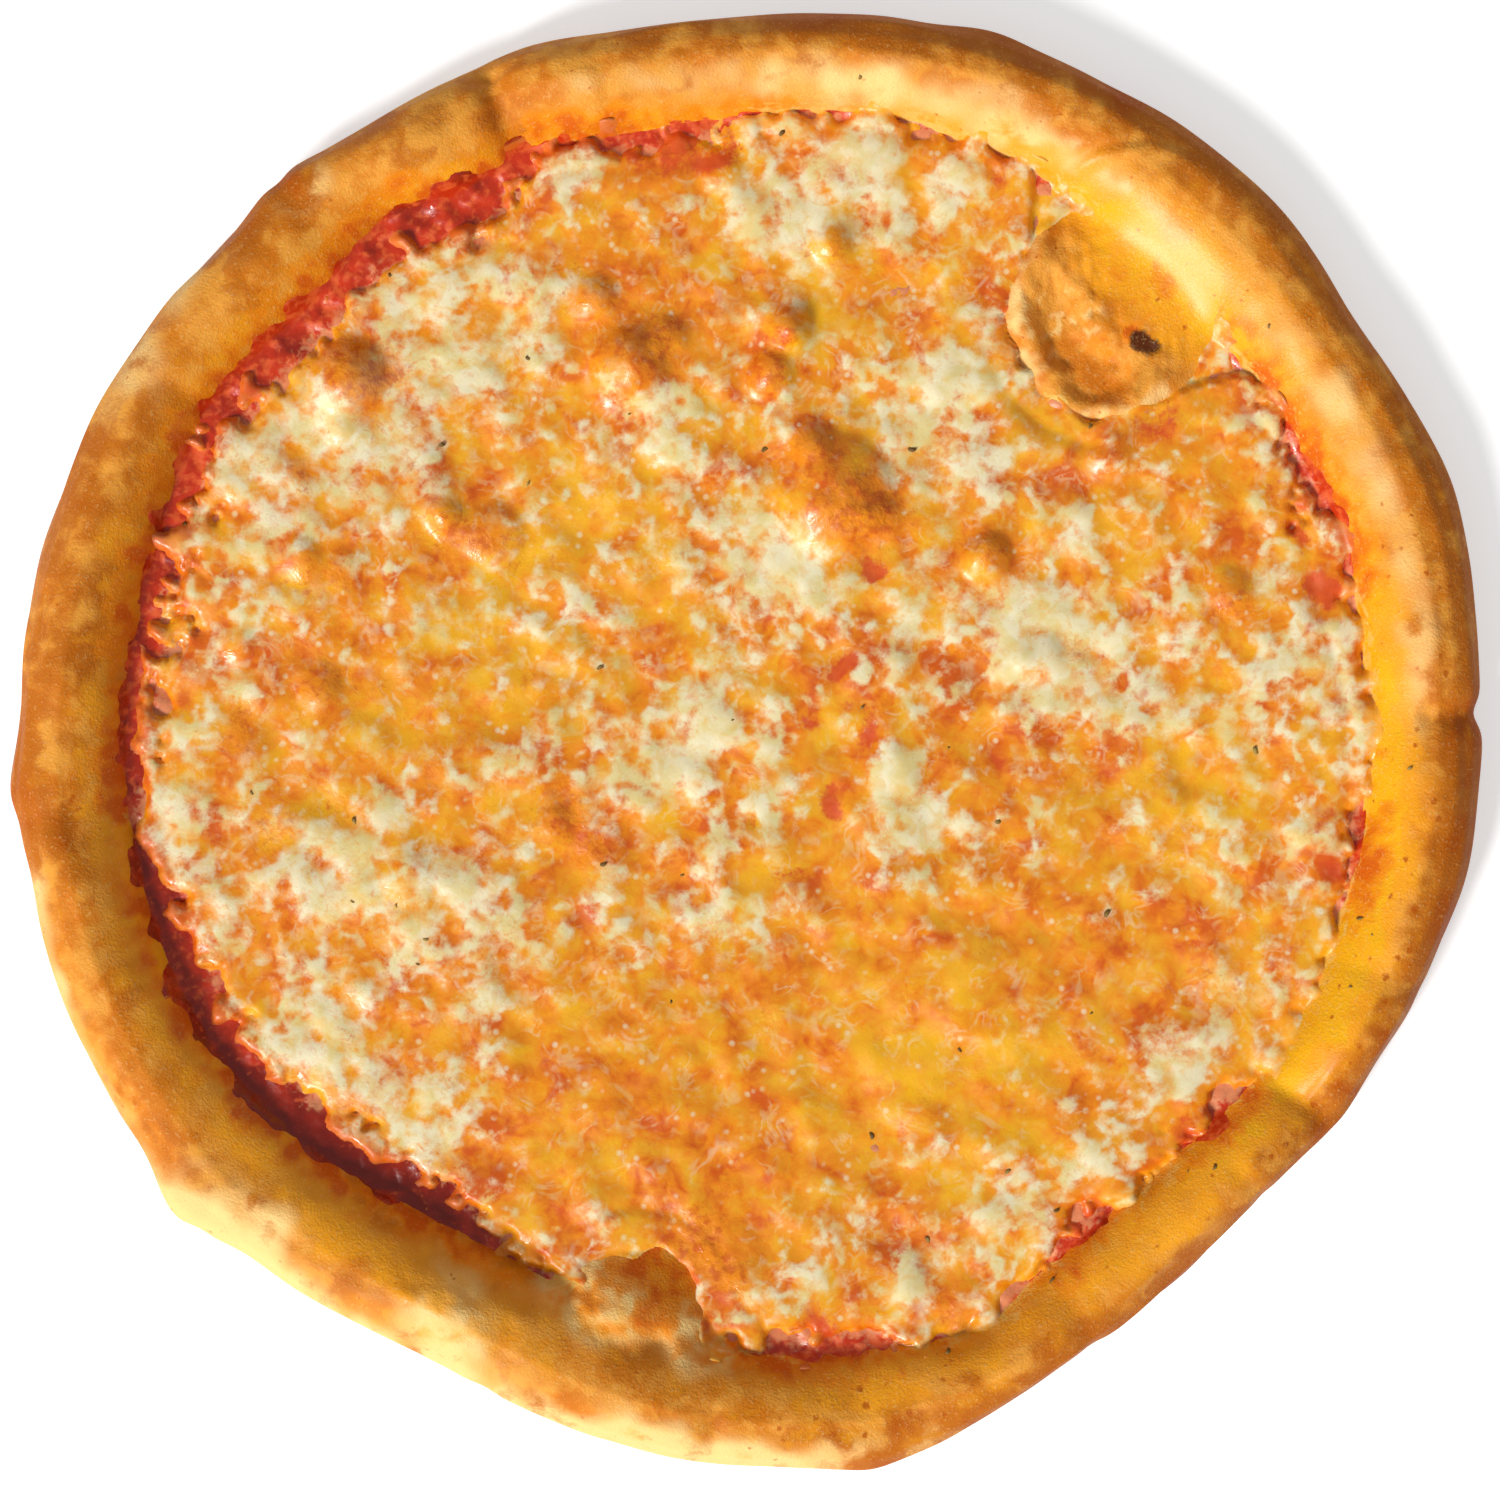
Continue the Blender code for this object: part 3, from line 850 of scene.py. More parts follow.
@dataclass(frozen=True)
class SauceFinish:
    """Cooked tomato: wet, lumpy and uneven in its red, with painted shadow from the rim darkening it in the
    lower left.
    """

    gloss: float = 0.26

    def make(self) -> bpy.types.Material:
        """Builds the material.

        Returns:
            The material.
        """
        recipe = Recipe("tomato sauce")
        fine = recipe.swing(0.0011, 3, 0.9)
        wide = recipe.shreds()
        # The darker patches include painted shadow from the rim in the lower left
        patch = recipe.sum("SUBTRACT", recipe.noise(0.005, 3, 0.5), recipe.mark("dark_sauce_and_shade"))
        colour = recipe.mix(recipe.scale(patch, 0.0, 0.52), Tone.TOMATO_DARK, Tone.TOMATO)
        pulp = recipe.plus(recipe.mark("dark_sauce_and_shade"), -0.35, recipe.noise(0.0020, 3, 0.4))
        colour = recipe.mix(recipe.scale(pulp, 0.42, 0.66, 0.0, 0.8), colour, Tone.TOMATO_PALE)
        shred = recipe.plus(wide, 12.0, recipe.mark("inside"))
        shred = recipe.scale(recipe.plus(fine, 5.0, shred), 1.0, 4.0, 0.0, 0.5)
        colour = recipe.mix(shred, colour, Tone.PINK)
        recipe.set("Base Color", colour)
        gloss = recipe.scale(recipe.noise(0.002, 2), 0.3, 0.7, self.gloss - 0.1, self.gloss + 0.2)
        recipe.set("Roughness", gloss)
        recipe.set("Subsurface Weight", 0.1)
        recipe.set("Subsurface Scale", 0.0015)
        recipe.bump(recipe.noise(0.0012, 2), 0.00015, 0.7)
        return recipe.material


@dataclass(frozen=True)
class CrustFinish:
    """Baked dough: golden and finely grained, browned, floury or soaked with oil in places, with painted
    shade among the browned places and painted highlights among the floury ones.
    """

    grain_size: float = 0.0007
    dry: float = 0.56

    def make(self) -> bpy.types.Material:
        """Builds the material.

        Returns:
            The material.
        """
        recipe = Recipe("baked dough")
        grain = recipe.swing(self.grain_size, 2)
        mottle = recipe.swing(0.005, 3, 0.3)
        broad = recipe.plus(mottle, 0.9, recipe.noise(0.014, 3))
        colour = recipe.mix(recipe.scale(broad, 0.34, 0.68), Tone.DOUGH, Tone.DOUGH_DEEP)
        # Floury places: pale dough, with painted highlights on the rim's inner slope that faces the light
        pale = recipe.plus(mottle, 0.6, recipe.mark("flour_and_highlight"))
        colour = recipe.mix(recipe.scale(pale, 0.15, 1.0), colour, Tone.FLOUR_AND_HIGHLIGHT)
        # Browned places: browned dough, with painted shade in the creases and on the sides of the rim away
        # from the light
        toast_and_shade = recipe.plus(mottle, 1.3, recipe.mark("toast_and_shade"))
        toast_and_shade = recipe.plus(grain, 0.5, toast_and_shade)
        colour = recipe.mix(recipe.scale(toast_and_shade, 0.10, 0.75), colour, Tone.TOAST_AND_SHADE)
        colour = recipe.mix(recipe.scale(toast_and_shade, 0.75, 1.45), colour, Tone.DARK_TOAST_AND_SHADE)
        oil = recipe.plus(mottle, 1.3, recipe.mark("oil"))
        oily = recipe.scale(oil, 0.12, 0.85)
        colour = recipe.mix(recipe.times(oily, 0.85), colour, Tone.CRUST_OIL)
        colour = recipe.mix(recipe.scale(oil, 0.90, 1.40, 0.0, 0.7), colour, Tone.OIL)
        dots = recipe.plus(recipe.mark("speckle"), -0.16, recipe.cells(0.0042))
        dots = recipe.plus(grain, 0.25, dots)
        colour = recipe.mix(recipe.scale(dots, -0.02, 0.13, 0.85, 0.0), colour, Tone.DARK_TOAST_AND_SHADE)
        stain = recipe.plus(mottle, 1.0, recipe.mark("stain"))
        colour = recipe.mix(recipe.scale(stain, 0.25, 0.95, 0.0, 0.85), colour, Tone.ORANGE)
        colour = recipe.mix(recipe.scale(stain, 0.80, 1.7, 0.0, 0.85), colour, Tone.RUST)
        char = recipe.plus(grain, 0.6, recipe.mark("char"))
        colour = recipe.mix(recipe.scale(char, 0.45, 0.95, 0.0, 0.95), colour, Tone.CHAR)
        wide = recipe.shreds()
        shred = recipe.plus(wide, 15.0, recipe.mark("inside"))
        shred = recipe.scale(recipe.plus(grain, 3.0, shred), 0.0, 3.5, 0.0, 0.7)
        colour = recipe.mix(shred, colour, Tone.PALE_GOLD)
        tint = recipe.scale(grain, 0.06, 0.24, 0.0, 0.26)
        colour = recipe.mix(tint, colour, Tone.FLOUR_AND_HIGHLIGHT)
        recipe.set("Base Color", colour)
        dull = recipe.plus(oily, -0.24, self.dry)
        recipe.set("Roughness", recipe.plus(grain, 0.25, dull))
        recipe.set("Specular IOR Level", 0.12)
        recipe.set("Coat Weight", recipe.times(oily, 0.35))
        recipe.set("Coat Roughness", 0.34)
        recipe.set("Subsurface Weight", 0.08)
        recipe.set("Subsurface Scale", 0.002)
        fine = recipe.noise(0.00045, 1)
        recipe.bump(recipe.plus(fine, 0.8, grain), 0.00022, 0.7)
        return recipe.material


@dataclass(frozen=True)
class HerbFinish:
    """Dried herb: dull green-brown, each flake a little different."""

    def make(self) -> bpy.types.Material:
        """Builds the material.

        Returns:
            The material.
        """
        recipe = Recipe("dried herb")
        colour = recipe.mix(recipe.scale(recipe.noise(0.004, 1), 0.35, 0.65), Tone.HERB, Tone.HERB_PALE)
        recipe.set("Base Color", colour)
        recipe.set("Roughness", 0.7)
        recipe.bump(recipe.noise(0.0004, 1), 0.00005)
        return recipe.material


@dataclass
class Dough:
    """The crust: a fine rim, two blisters and a plain base under the toppings."""

    skin: Skin
    tray: Tray
    columns: int = 900
    inner_rows: int = 58
    outer_rows: int = 34
    inner_start: float = 0.088
    core_height: float = 0.0065
    last_ray: float = -66.0
    toe_height: float = 0.0060
    lowest_blister: float = 0.0052
    heights: np.ndarray = field(init=False)

    def __post_init__(self) -> None:
        """Reads the solid's height under every coarse cell, and softens its facets."""
        coarse, solid = self.skin.coarse_heights(self.tray.half)
        self.heights = coarse.read(coarse.blur(solid, FACET_BLUR), self.tray.x, self.tray.y)
        self.angles = np.arange(self.columns) * 360 / self.columns
        self.crest = self.find_crest()
        self.surface = self.heights + self.surface_relief()
        x, y = self.tray.x / MM, self.tray.y / MM
        outer_side = smooth(-np.hypot(x - 88, y - 99), -19, -11)
        crag = smooth(-np.hypot(x + 19, y + 108), -16, -9)
        soft = self.tray.blur(self.surface, 0.0030)
        self.surface += np.maximum(outer_side, 0.8 * crag) * (soft - self.surface)
        within = blister_cover(self.tray, 0)
        self.surface = np.maximum(self.surface, within * self.lowest_blister)
        self.beyond = self.find_beyond()

    def find_crest(self) -> np.ndarray:
        """The radius of the rim's highest line, for each column.

        Returns:
            A radius for each column, in metres.
        """
        radii = np.arange(0.126, 0.149, 0.0005)
        turn = np.radians(self.angles)[:, None]
        heights = self.tray.read(self.heights, radii * np.cos(turn), radii * np.sin(turn))
        return ring_blur(radii[heights.argmax(axis=1)], 12)

    def toe(self, angles: np.ndarray) -> np.ndarray:
        """The radius at each angle where the rim rises from the toppings, carried on past the blisters.

        Args:
            angles: The angles, in degrees.

        Returns:
            A radius for each angle, in metres.
        """
        radii = np.arange(0.110, 0.142, 0.0003)
        turn = np.radians(self.angles)[:, None]
        low = self.tray.read(self.heights, radii * np.cos(turn), radii * np.sin(turn)) < self.toe_height
        low &= radii < self.crest[:, None]
        last = low.shape[1] - 1 - low[:, ::-1].argmax(axis=1)
        clear = (np.abs(self.angles - 50) > 15) & (np.abs(self.angles - 259) > 10)
        found = np.interp(self.angles, self.angles[clear], radii[last][clear], period=360)
        return np.interp(angles % 360, self.angles, ring_blur(found, 5), period=360)

    def find_beyond(self) -> np.ndarray:
        """How far every cell is outside the toe, in mm.

        Returns:
            The grid of distances.
        """
        tray = self.tray
        toe = self.toe(np.degrees(np.arctan2(tray.y, tray.x)))
        return (np.hypot(tray.x, tray.y) - toe) / MM

    def base_rows(self) -> tuple[np.ndarray, np.ndarray]:
        """The radius and height of every point, before the fine relief, by row and column.

        Returns:
            The radii and the heights, in metres.
        """
        turn = np.radians(self.angles)
        radii, heights = [], []
        for j in range(self.inner_rows):
            share = j / self.inner_rows
            radius = self.inner_start + share * (self.crest - self.inner_start)
            radii.append(radius)
            heights.append(self.tray.read(self.heights, radius * np.cos(turn), radius * np.sin(turn)))
        for j in range(self.outer_rows):
            lean = math.radians(90 + (self.last_ray - 90) * j / (self.outer_rows - 1))
            reaches = []
            for angle, crest in zip(turn, self.crest):
                start = Vector((crest * math.cos(angle), crest * math.sin(angle), self.core_height))
                out = math.cos(lean)
                way = Vector((out * math.cos(angle), out * math.sin(angle), math.sin(lean)))
                reaches.append(self.skin.reach(start, way))
            reach = ring_blur(np.array(reaches), 3)
            radii.append(self.crest + reach * math.cos(lean))
            heights.append(self.core_height + reach * math.sin(lean))
        return np.array(radii), np.array(heights)

    def fold_relief(self) -> np.ndarray:
        """The thin lip where a flap of dough lies over the rim, as heights in metres.

        Returns:
            The grid of heights.
        """
        x, y = self.tray.x / MM, self.tray.y / MM
        nearest = np.full_like(x, 99.0)
        for (ax, ay), (bx, by) in zip(FOLD_LINE, FOLD_LINE[1:]):
            length = math.hypot(bx - ax, by - ay)
            ux, uy = (bx - ax) / length, (by - ay) / length
            along = np.clip((x - ax) * ux + (y - ay) * uy, 0, length)
            away = np.hypot(x - ax - along * ux, y - ay - along * uy)
            side = np.sign((x - ax) * uy - (y - ay) * ux)
            nearest = np.where(away < abs(nearest), away * side, nearest)
        lip = 0.8 * np.exp(-((nearest - 1.3) / 1.4) ** 2)
        crease = -0.7 * np.exp(-((nearest + 0.3) / 0.8) ** 2)
        return (lip + crease) * MM

    def blister_relief(self) -> np.ndarray:
        """The broad blister's sunken middle and its curled edge, and the small one's crags, in metres.

        Returns:
            The grid of heights.
        """
        x, y = self.tray.x / MM, self.tray.y / MM
        away, turned = self.round_broad_blister()
        curl = smooth(-turned, -112, -74)
        hollow = smooth(-turned, -84, -40)
        knobs = 1 + 0.10 * self.tray.noise(38, 0.006)
        rise = 3.2 * knobs * np.exp(-(((away - 18.8) / 3.2) ** 2)) * curl
        rise -= 3.6 * np.exp(-(((away - 12.4) / 3.4) ** 2)) * hollow
        inside = smooth(-away, -20, -16)
        rise += inside * (0.26 * self.tray.noise(32, 0.0035) + 0.20 * self.tray.noise(33, 0.0016))
        knots = 0.16 * np.abs(self.tray.noise(34, 0.008)) + 0.10 * np.abs(self.tray.noise(35, 0.0038))
        for bulge in BULGES:
            near = np.exp(-1.1 * ((x - bulge.x) ** 2 + (y - bulge.y) ** 2) / bulge.radius**2)
            rise += near * bulge.amount * (0.75 + knots)
        return rise * MM

    def surface_relief(self) -> np.ndarray:
        """Everything that stands up from or sinks into the dough as seen from above, in metres."""
        tray = self.tray
        swells = 0.22 * tray.noise(21, 0.016) + 0.06 * tray.noise(22, 0.006) + 0.02 * tray.noise(23, 0.002)
        return self.fold_relief() + self.blister_relief() + MM * swells

    def build(self) -> bpy.types.Object:
        """Makes the crust's mesh.

        Returns:
            The crust, closed, with its marks for the finish.
        """
        radii, heights = self.base_rows()
        turn = np.radians(self.angles)[None, :]
        rows = len(radii)
        outer = np.arange(rows)[:, None] >= self.inner_rows
        x, y = radii * np.cos(turn), radii * np.sin(turn)
        relief = self.tray.read(self.surface - self.heights, x, y)
        side = np.array([ring_noise(300 + j, self.columns, 24) for j in range(0, rows, 6)])
        steps = np.interp(np.arange(rows), np.arange(0, rows, 6), np.arange(len(side)))
        low = np.minimum(steps.astype(int), len(side) - 2)
        share = (steps - low)[:, None]
        lumps = 0.00035 * (side[low] * (1 - share) + side[low + 1] * share)
        near_top = np.clip(1 - np.maximum(np.arange(rows)[:, None] - self.inner_rows, 0) / 9, 0, 1)
        relief = relief * near_top + lumps * (1 - near_top) * outer
        for pinch in PINCHES:
            between = smooth(radii / MM, pinch.inner - 2, pinch.inner + 2)
            between = between * (1 - smooth(radii / MM, pinch.outer - 2, pinch.outer + 2))
            relief -= pinch.depth * MM * ring_bell(self.angles, pinch.angle, pinch.spread)[None, :] * between
        lean = np.zeros(rows)
        lean[self.inner_rows :] = np.linspace(0, 1, self.outer_rows)
        way = np.radians(90 - lean * (90 - self.last_ray))[:, None]
        fade = smooth(heights, 0.0005, 0.004)
        radii = radii + relief * np.cos(way) * fade
        heights = np.maximum(heights + relief * np.sin(way) * fade, 0)
        x, y = radii * np.cos(turn), radii * np.sin(turn)
        points = np.stack([x, y, heights], -1).reshape(-1, 3)
        top = np.array([[0, 0, self.tray.read(self.heights, np.zeros(1), np.zeros(1))[0]]])
        points = np.concatenate([points, top, np.zeros((1, 3))])
        return make_piece("crust_baked", points, closed_faces(rows, self.columns), **self.marks(points))

    def within_band(self) -> np.ndarray:
        """How far every cell is inside the cheese's edge, in mm."""
        within = -self.beyond - self.tray.around(BAND, BAND_ARCS)
        return np.clip(within, -BAND_REACH, BAND_REACH)

    def round_broad_blister(self) -> tuple[np.ndarray, np.ndarray]:
        """Every cell's place round the broad blister.

        Returns:
            Its ragged distance from the blister's middle, in mm, and its turn from the curled side.
        """
        dx, dy = self.tray.x / MM - BROAD_BLISTER.x, self.tray.y / MM - BROAD_BLISTER.y
        away = np.hypot(dx, dy) + 0.9 * self.tray.noise(31, 0.016)
        turned = np.abs((np.degrees(np.arctan2(dy, dx)) - CURL_ANGLE + 180) % 360 - 180)
        return away, turned

    def marks(self, points: np.ndarray) -> dict[str, np.ndarray]:
        """The values that the finish reads, for each vertex.

        Args:
            points: The vertices, in metres.

        Returns:
            The values by name.
        """
        tray = self.tray
        x, y = points[:, 0], points[:, 1]
        grids = {
            # The browned values below also carry painted shade in the creases and on the rim's shaded sides
            "toast_and_shade": tray.arcs(TOASTED_AND_SHADED, 1.0, 41)
            + 0.45 * tray.arcs(SPECKLED, 1.0, 51) * np.maximum(tray.noise(46, 0.006), 0)
            + 0.13 * tray.noise(43, 0.010) + 0.08 * tray.noise(44, 0.005),
            # The floury values also carry painted highlights on the rim's lit inner slope
            "flour_and_highlight": tray.arcs(FLOURY_AND_HIGHLIGHT, 1.0, 45) + 0.10 * tray.noise(47, 0.008) + self.pale_dough(),
            "oil": tray.arcs(OILY, 1.2, 48) + 0.08 * tray.noise(50, 0.006),
            "speckle": tray.arcs(SPECKLED, 1.0, 51),
            "char": tray.marks(CHARRED, 0.0006, 53),
            "stain": self.stain(),
            "inside": self.within_band() - 14 * blister_cover(tray, 1),
            "herbs": smooth(self.beyond, 0, 2) * smooth(-self.beyond, -11, -7) * (0.15 + 0.85 * (tray.x > 0)),
        }
        marks = {name: tray.read(grid, x, y) for name, grid in grids.items()}
        below = smooth(-points[:, 2], -0.010, -0.004) * (np.hypot(x, y) > 0.14)
        marks["flour_and_highlight"] = marks["flour_and_highlight"] + 0.25 * below
        return marks

    def pale_dough(self) -> np.ndarray:
        """Where torn or curled dough stayed pale: the bulges, and the broad blister's ridge and crumbs.

        Returns:
            The grid of shares.
        """
        tray = self.tray
        dx, dy = tray.x / MM - BROAD_BLISTER.x, tray.y / MM - BROAD_BLISTER.y
        away, turned = self.round_broad_blister()
        ridge = np.exp(-(((away - 20.0) / 2.4) ** 2)) * smooth(-turned, -108, -72)
        crumbs = smooth(tray.noise(39, 0.0022) + 0.5 * tray.noise(40, 0.005), 0.3, 1.2)
        crumbs = crumbs * np.exp(-(((dx + 9) ** 2 + (dy + 1) ** 2) / 11**2))
        bulges = tray.marks(tuple(bulge for bulge in BULGES if bulge.amount > 1.9), 0.0006, 60)
        return 0.40 * ridge * (1 + 0.5 * tray.noise(42, 0.003)) + 0.8 * crumbs + 0.80 * bulges

    def stain(self) -> np.ndarray:
        """Where sauce and oil coloured the dough beside the toppings.

        Returns:
            The grid of shares.
        """
        tray = self.tray
        reach = smooth(tray.around(CLIMB, CLIMB_ARCS), -1.2, 0.2)
        near = smooth(-self.beyond, -11.0, 0.5) * (0.30 + 1.25 * reach)
        near = near * (0.85 + 0.34 * tray.noise(55, 0.006) + 0.26 * tray.noise(56, 0.0025))
        x, y = tray.x / MM, tray.y / MM
        away = np.hypot(x - BROAD_BLISTER.x, y - BROAD_BLISTER.y)
        middle = np.exp(-(((x - 79) ** 2 + (y - 88) ** 2) / 13**2))
        blister = middle * (0.42 + 0.50 * tray.noise(57, 0.005) + 0.40 * tray.noise(58, 0.0022))
        crag = np.exp(-1.1 * ((x + 17) ** 2 + (y + 108) ** 2) / 15**2) * (0.95 + 0.4 * tray.noise(59, 0.004))
        return np.maximum(near * (away > 22), 0) + blister + crag


def blister_cover(tray: Tray, margin: float) -> np.ndarray:
    """Where the two blisters stand through the toppings: 1 on them and 0 away from them.

    Args:
        tray: The cells.
        margin: How far past each blister's edge the toppings keep away, in mm.

    Returns:
        The grid of shares.
    """
    ragged = 0.9 * tray.noise(68, 0.006)
    total = np.zeros_like(tray.x)
    for blister in (BROAD_BLISTER, SMALL_BLISTER):
        away = np.hypot(tray.x / MM - blister.x, tray.y / MM - blister.y) + ragged
        total = np.maximum(total, smooth(-away, -blister.radius - margin, -blister.radius + 1))
    return total


@dataclass
class Sauce:
    """The tomato sauce: fine where it shows, plain in the middle."""

    skin: Skin
    dough: Dough
    tray: Tray
    columns: int = 880
    rows: int = 44
    inner: float = 0.085
    past_toe: float = 0.0034
    under: float = 0.0041
    surface: np.ndarray = field(init=False)

    def __post_init__(self) -> None:
        """Works out the sauce's top for every cell: a lumpy level that climbs the toe in places."""
        tray, dough = self.tray, self.dough
        thickness = self.skin.points[:, 2].max()
        lumps = 0.26 * tray.noise(63, 0.006) + 0.20 * tray.noise(64, 0.003) + 0.07 * tray.noise(65, 0.0015)
        climb = tray.around(CLIMB, CLIMB_ARCS) - 0.30 * dough.beyond
        climb = climb + 0.16 * tray.noise(66, 0.004) + 0.22 * tray.noise(67, 0.010)
        top = np.maximum(thickness + MM * lumps, dough.surface + MM * np.clip(climb, -0.9, 0.5))
        hidden = blister_cover(tray, 3.0)
        top = top * (1 - hidden) + np.minimum(top, dough.surface - 0.0009) * hidden
        self.surface = np.maximum(top, self.under + 0.0003)

    def build(self) -> bpy.types.Object:
        """Makes the sauce's mesh.

        Returns:
            The sauce, closed, running in under the toe of the rim.
        """
        angles = np.arange(self.columns) * 360 / self.columns
        turn = np.radians(angles)[None, :]
        edge = self.dough.toe(angles) + self.past_toe
        radii = self.inner + np.linspace(0, 1, self.rows)[:, None] * (edge[None, :] - self.inner)
        x, y = radii * np.cos(turn), radii * np.sin(turn)
        heights = self.tray.read(self.surface, x, y)
        points = np.stack([x, y, heights], -1).reshape(-1, 3)
        foot = np.stack([x[-1], y[-1], np.full(self.columns, self.under)], -1)
        hub = [[0, 0, heights[0].mean()], [0, 0, self.under]]
        points = np.concatenate([points, foot, hub])
        faces = closed_faces(self.rows + 1, self.columns)
        # Where the sauce is painted darker, mostly as painted shadow from the rim in the lower left
        dark_sauce_and_shade = self.tray.around(0, DARK_SAUCE_AND_SHADE_ARCS) + 0.08 * self.tray.noise(69, 0.010)
        grids = {"dark_sauce_and_shade": dark_sauce_and_shade, "inside": self.dough.within_band()}
        marks = {name: self.tray.read(grid, points[:, 0], points[:, 1]) for name, grid in grids.items()}
        return make_piece("sauce_spread", points, faces, **marks)


@dataclass
class Cheese:
    """The melted cheese: one sheet whose shreds, pools, bubbles and holes are in its mesh."""

    skin: Skin
    dough: Dough
    sauce: Sauce
    tray: Tray
    rings: int = 180
    shred_count: int = 2600
    pore_count: int = 1300
    past_toe: float = 0.0030
    under: float = 0.0045

    def shreds(self, density: np.ndarray) -> np.ndarray:
        """The melted shreds of grated cheese, as how much of each lies over every cell.

        Args:
            density: The share of shreds that stayed whole, for each cell.

        Returns:
            Values from 0 between shreds to 1 on them.
        """
        tray = self.tray
        rng = np.random.default_rng(71)
        total = np.zeros_like(tray.x)
        along = np.linspace(-0.5, 0.5, 44)[None, :]
        for width, share in ((0.0008, 0.42), (0.0011, 0.30), (0.0016, 0.18), (0.0024, 0.10)):
            count = int(self.shred_count * share)
            radius = 0.134 * np.sqrt(rng.random(count))
            turn = rng.random(count) * 2 * math.pi
            x, y = radius * np.cos(turn), radius * np.sin(turn)
            kept = rng.random(count) < tray.read(density, x, y)
            x, y = x[kept, None], y[kept, None]
            length = rng.uniform(0.004, 0.012, len(x))[:, None]
            heading = rng.random(len(x))[:, None] * 2 * math.pi
            bend = rng.normal(0, 0.9, len(x))[:, None]
            course = heading + bend * along * 2 + 0.5 * np.sin(9 * along + heading)
            step = length / along.size
            px = x + np.cumsum(step * np.cos(course), axis=1)
            py = y + np.cumsum(step * np.sin(course), axis=1)
            taper = np.sqrt(np.clip(1 - (2 * along) ** 2, 0, 1))
            spread = width * 0.40
            weight = rng.uniform(0.7, 1.5, len(x))[:, None] * taper * step
            weight = weight * spread * math.sqrt(2 * math.pi) / tray.cell**2
            total += tray.blur(tray.drop(px.ravel(), py.ravel(), weight.ravel()), spread)
        return 1 - np.exp(-1.5 * np.maximum(total, 0))

    def pores(self) -> np.ndarray:
        """Small round places where bubbles burst: 1 in their middles, below 0 at their raised edges.

        Returns:
            The grid.
        """
        tray = self.tray
        rng = np.random.default_rng(73)
        total = np.zeros_like(tray.x)
        for radius in (0.0008, 0.0012, 0.0017, 0.0024):
            count = int(self.pore_count * 0.0009 / radius)
            reach = 0.126 * np.sqrt(rng.random(count))
            turn = rng.random(count) * 2 * math.pi
            x, y = reach * np.cos(turn), reach * np.sin(turn)
            drops = tray.drop(x, y, rng.uniform(0.4, 1.0, count))
            for spread, sign in ((radius * 0.6, 1.25), (radius * 1.1, -0.75)):
                total += sign * tray.blur(drops, spread) * 2 * math.pi * spread**2
        return total

    def level(self) -> np.ndarray:
        """The solid's own height for every cell, with its facets softened and carried on past its edge.

        Returns:
            The grid of heights, in metres.
        """
        coarse, solid = self.skin.coarse_heights(self.tray.half)
        inside = (solid > 0.004).astype(float)
        wide = coarse.blur(solid * inside, 0.004) / np.maximum(coarse.blur(inside, 0.004), 0.02)
        near = coarse.blur(solid * inside, FACET_BLUR) / np.maximum(coarse.blur(inside, FACET_BLUR), 0.02)
        share = smooth(coarse.blur(inside, FACET_BLUR), 0.2, 0.7)
        wide = np.clip(wide, 0.0055, 0.0085)
        mixed = near * share + wide * (1 - share)
        return coarse.read(mixed, self.tray.x, self.tray.y)

    def fields(self) -> dict[str, np.ndarray]:
        """Works out the cheese for every cell.

        Returns:
            Grids named top (heights in metres), inside (mm within the edge), melt, oil, sauce, brown,
            herbs and red.
        """
        tray, dough = self.tray, self.dough
        pools = np.minimum(tray.marks(CREAM_POOLS, 0.0022, 81), 1.2)
        thin = np.minimum(tray.marks(THIN_PLACES, 0.0020, 83), 1.1)
        sauce = tray.marks(SAUCE_SPOTS, 0.0014, 85)
        # Browned bubbles, with painted shade on their sides away from the light
        brown_and_shade = tray.marks(BROWNED_AND_SHADED, 0.0012, 87)
        shreds = self.shreds(np.clip(0.70 + 0.30 * pools - 0.55 * thin, 0.08, 1))
        pores = self.pores()
        lumps, blobs, crumbs = tray.noise(91, 0.012), tray.noise(92, 0.0055), tray.noise(93, 0.0026)
        lace = 1 - 1.3 * np.abs(tray.noise(94, 0.0040) + 0.35 * tray.noise(90, 0.0018))
        calm = 1 - 0.35 * np.minimum(pools, 1) - 0.55 * np.minimum(thin, 1)
        detail = 0.34 * (shreds - 0.45) + 0.12 * np.clip(lace, -1, 1)
        detail = detail + 0.08 * lumps + 0.11 * blobs + 0.08 * crumbs
        melt = 0.47 + 0.34 * pools - 0.30 * thin + calm * (detail - 0.22 * pores)
        melt = melt - 0.30 * np.minimum(brown_and_shade, 1) - 0.4 * np.minimum(sauce, 1)
        melt = np.clip(melt, 0, 1)
        soft = tray.blur(melt, 0.0014)
        relief = 0.55 * (smooth(soft, 0.1, 0.95) - 0.5) + 0.03 * (shreds - 0.5) + 0.30 * lumps + 0.09 * blobs
        relief = relief - 0.05 * pores + 0.10 * np.minimum(brown_and_shade, 1) * crumbs - 0.3 * np.minimum(sauce, 1)
        relief = relief + 1.9 * tray.blur(tray.mounds(BUBBLES), 0.0007)
        relief = relief * MM
        inside = -dough.beyond - tray.around(BAND, BAND_ARCS)
        red = smooth(tray.around(CLIMB, CLIMB_ARCS), -0.9, 0.0)
        inside = inside + (1 + 0.9 * red) * (1.2 * blobs + 0.4 * crumbs) + 0.9 * lumps + 2.0 * (shreds - 0.5)
        cover = smooth(inside, -0.8, 3.4)
        cover = cover * (1 - blister_cover(tray, 0.2))
        full = np.maximum(self.level() + relief, dough.surface + 0.0003 + 0.3 * relief)
        low = np.maximum(self.sauce.surface - 0.0007, dough.surface - 0.0006)
        top = np.maximum(low + cover * (full - low), self.under + 0.0002)
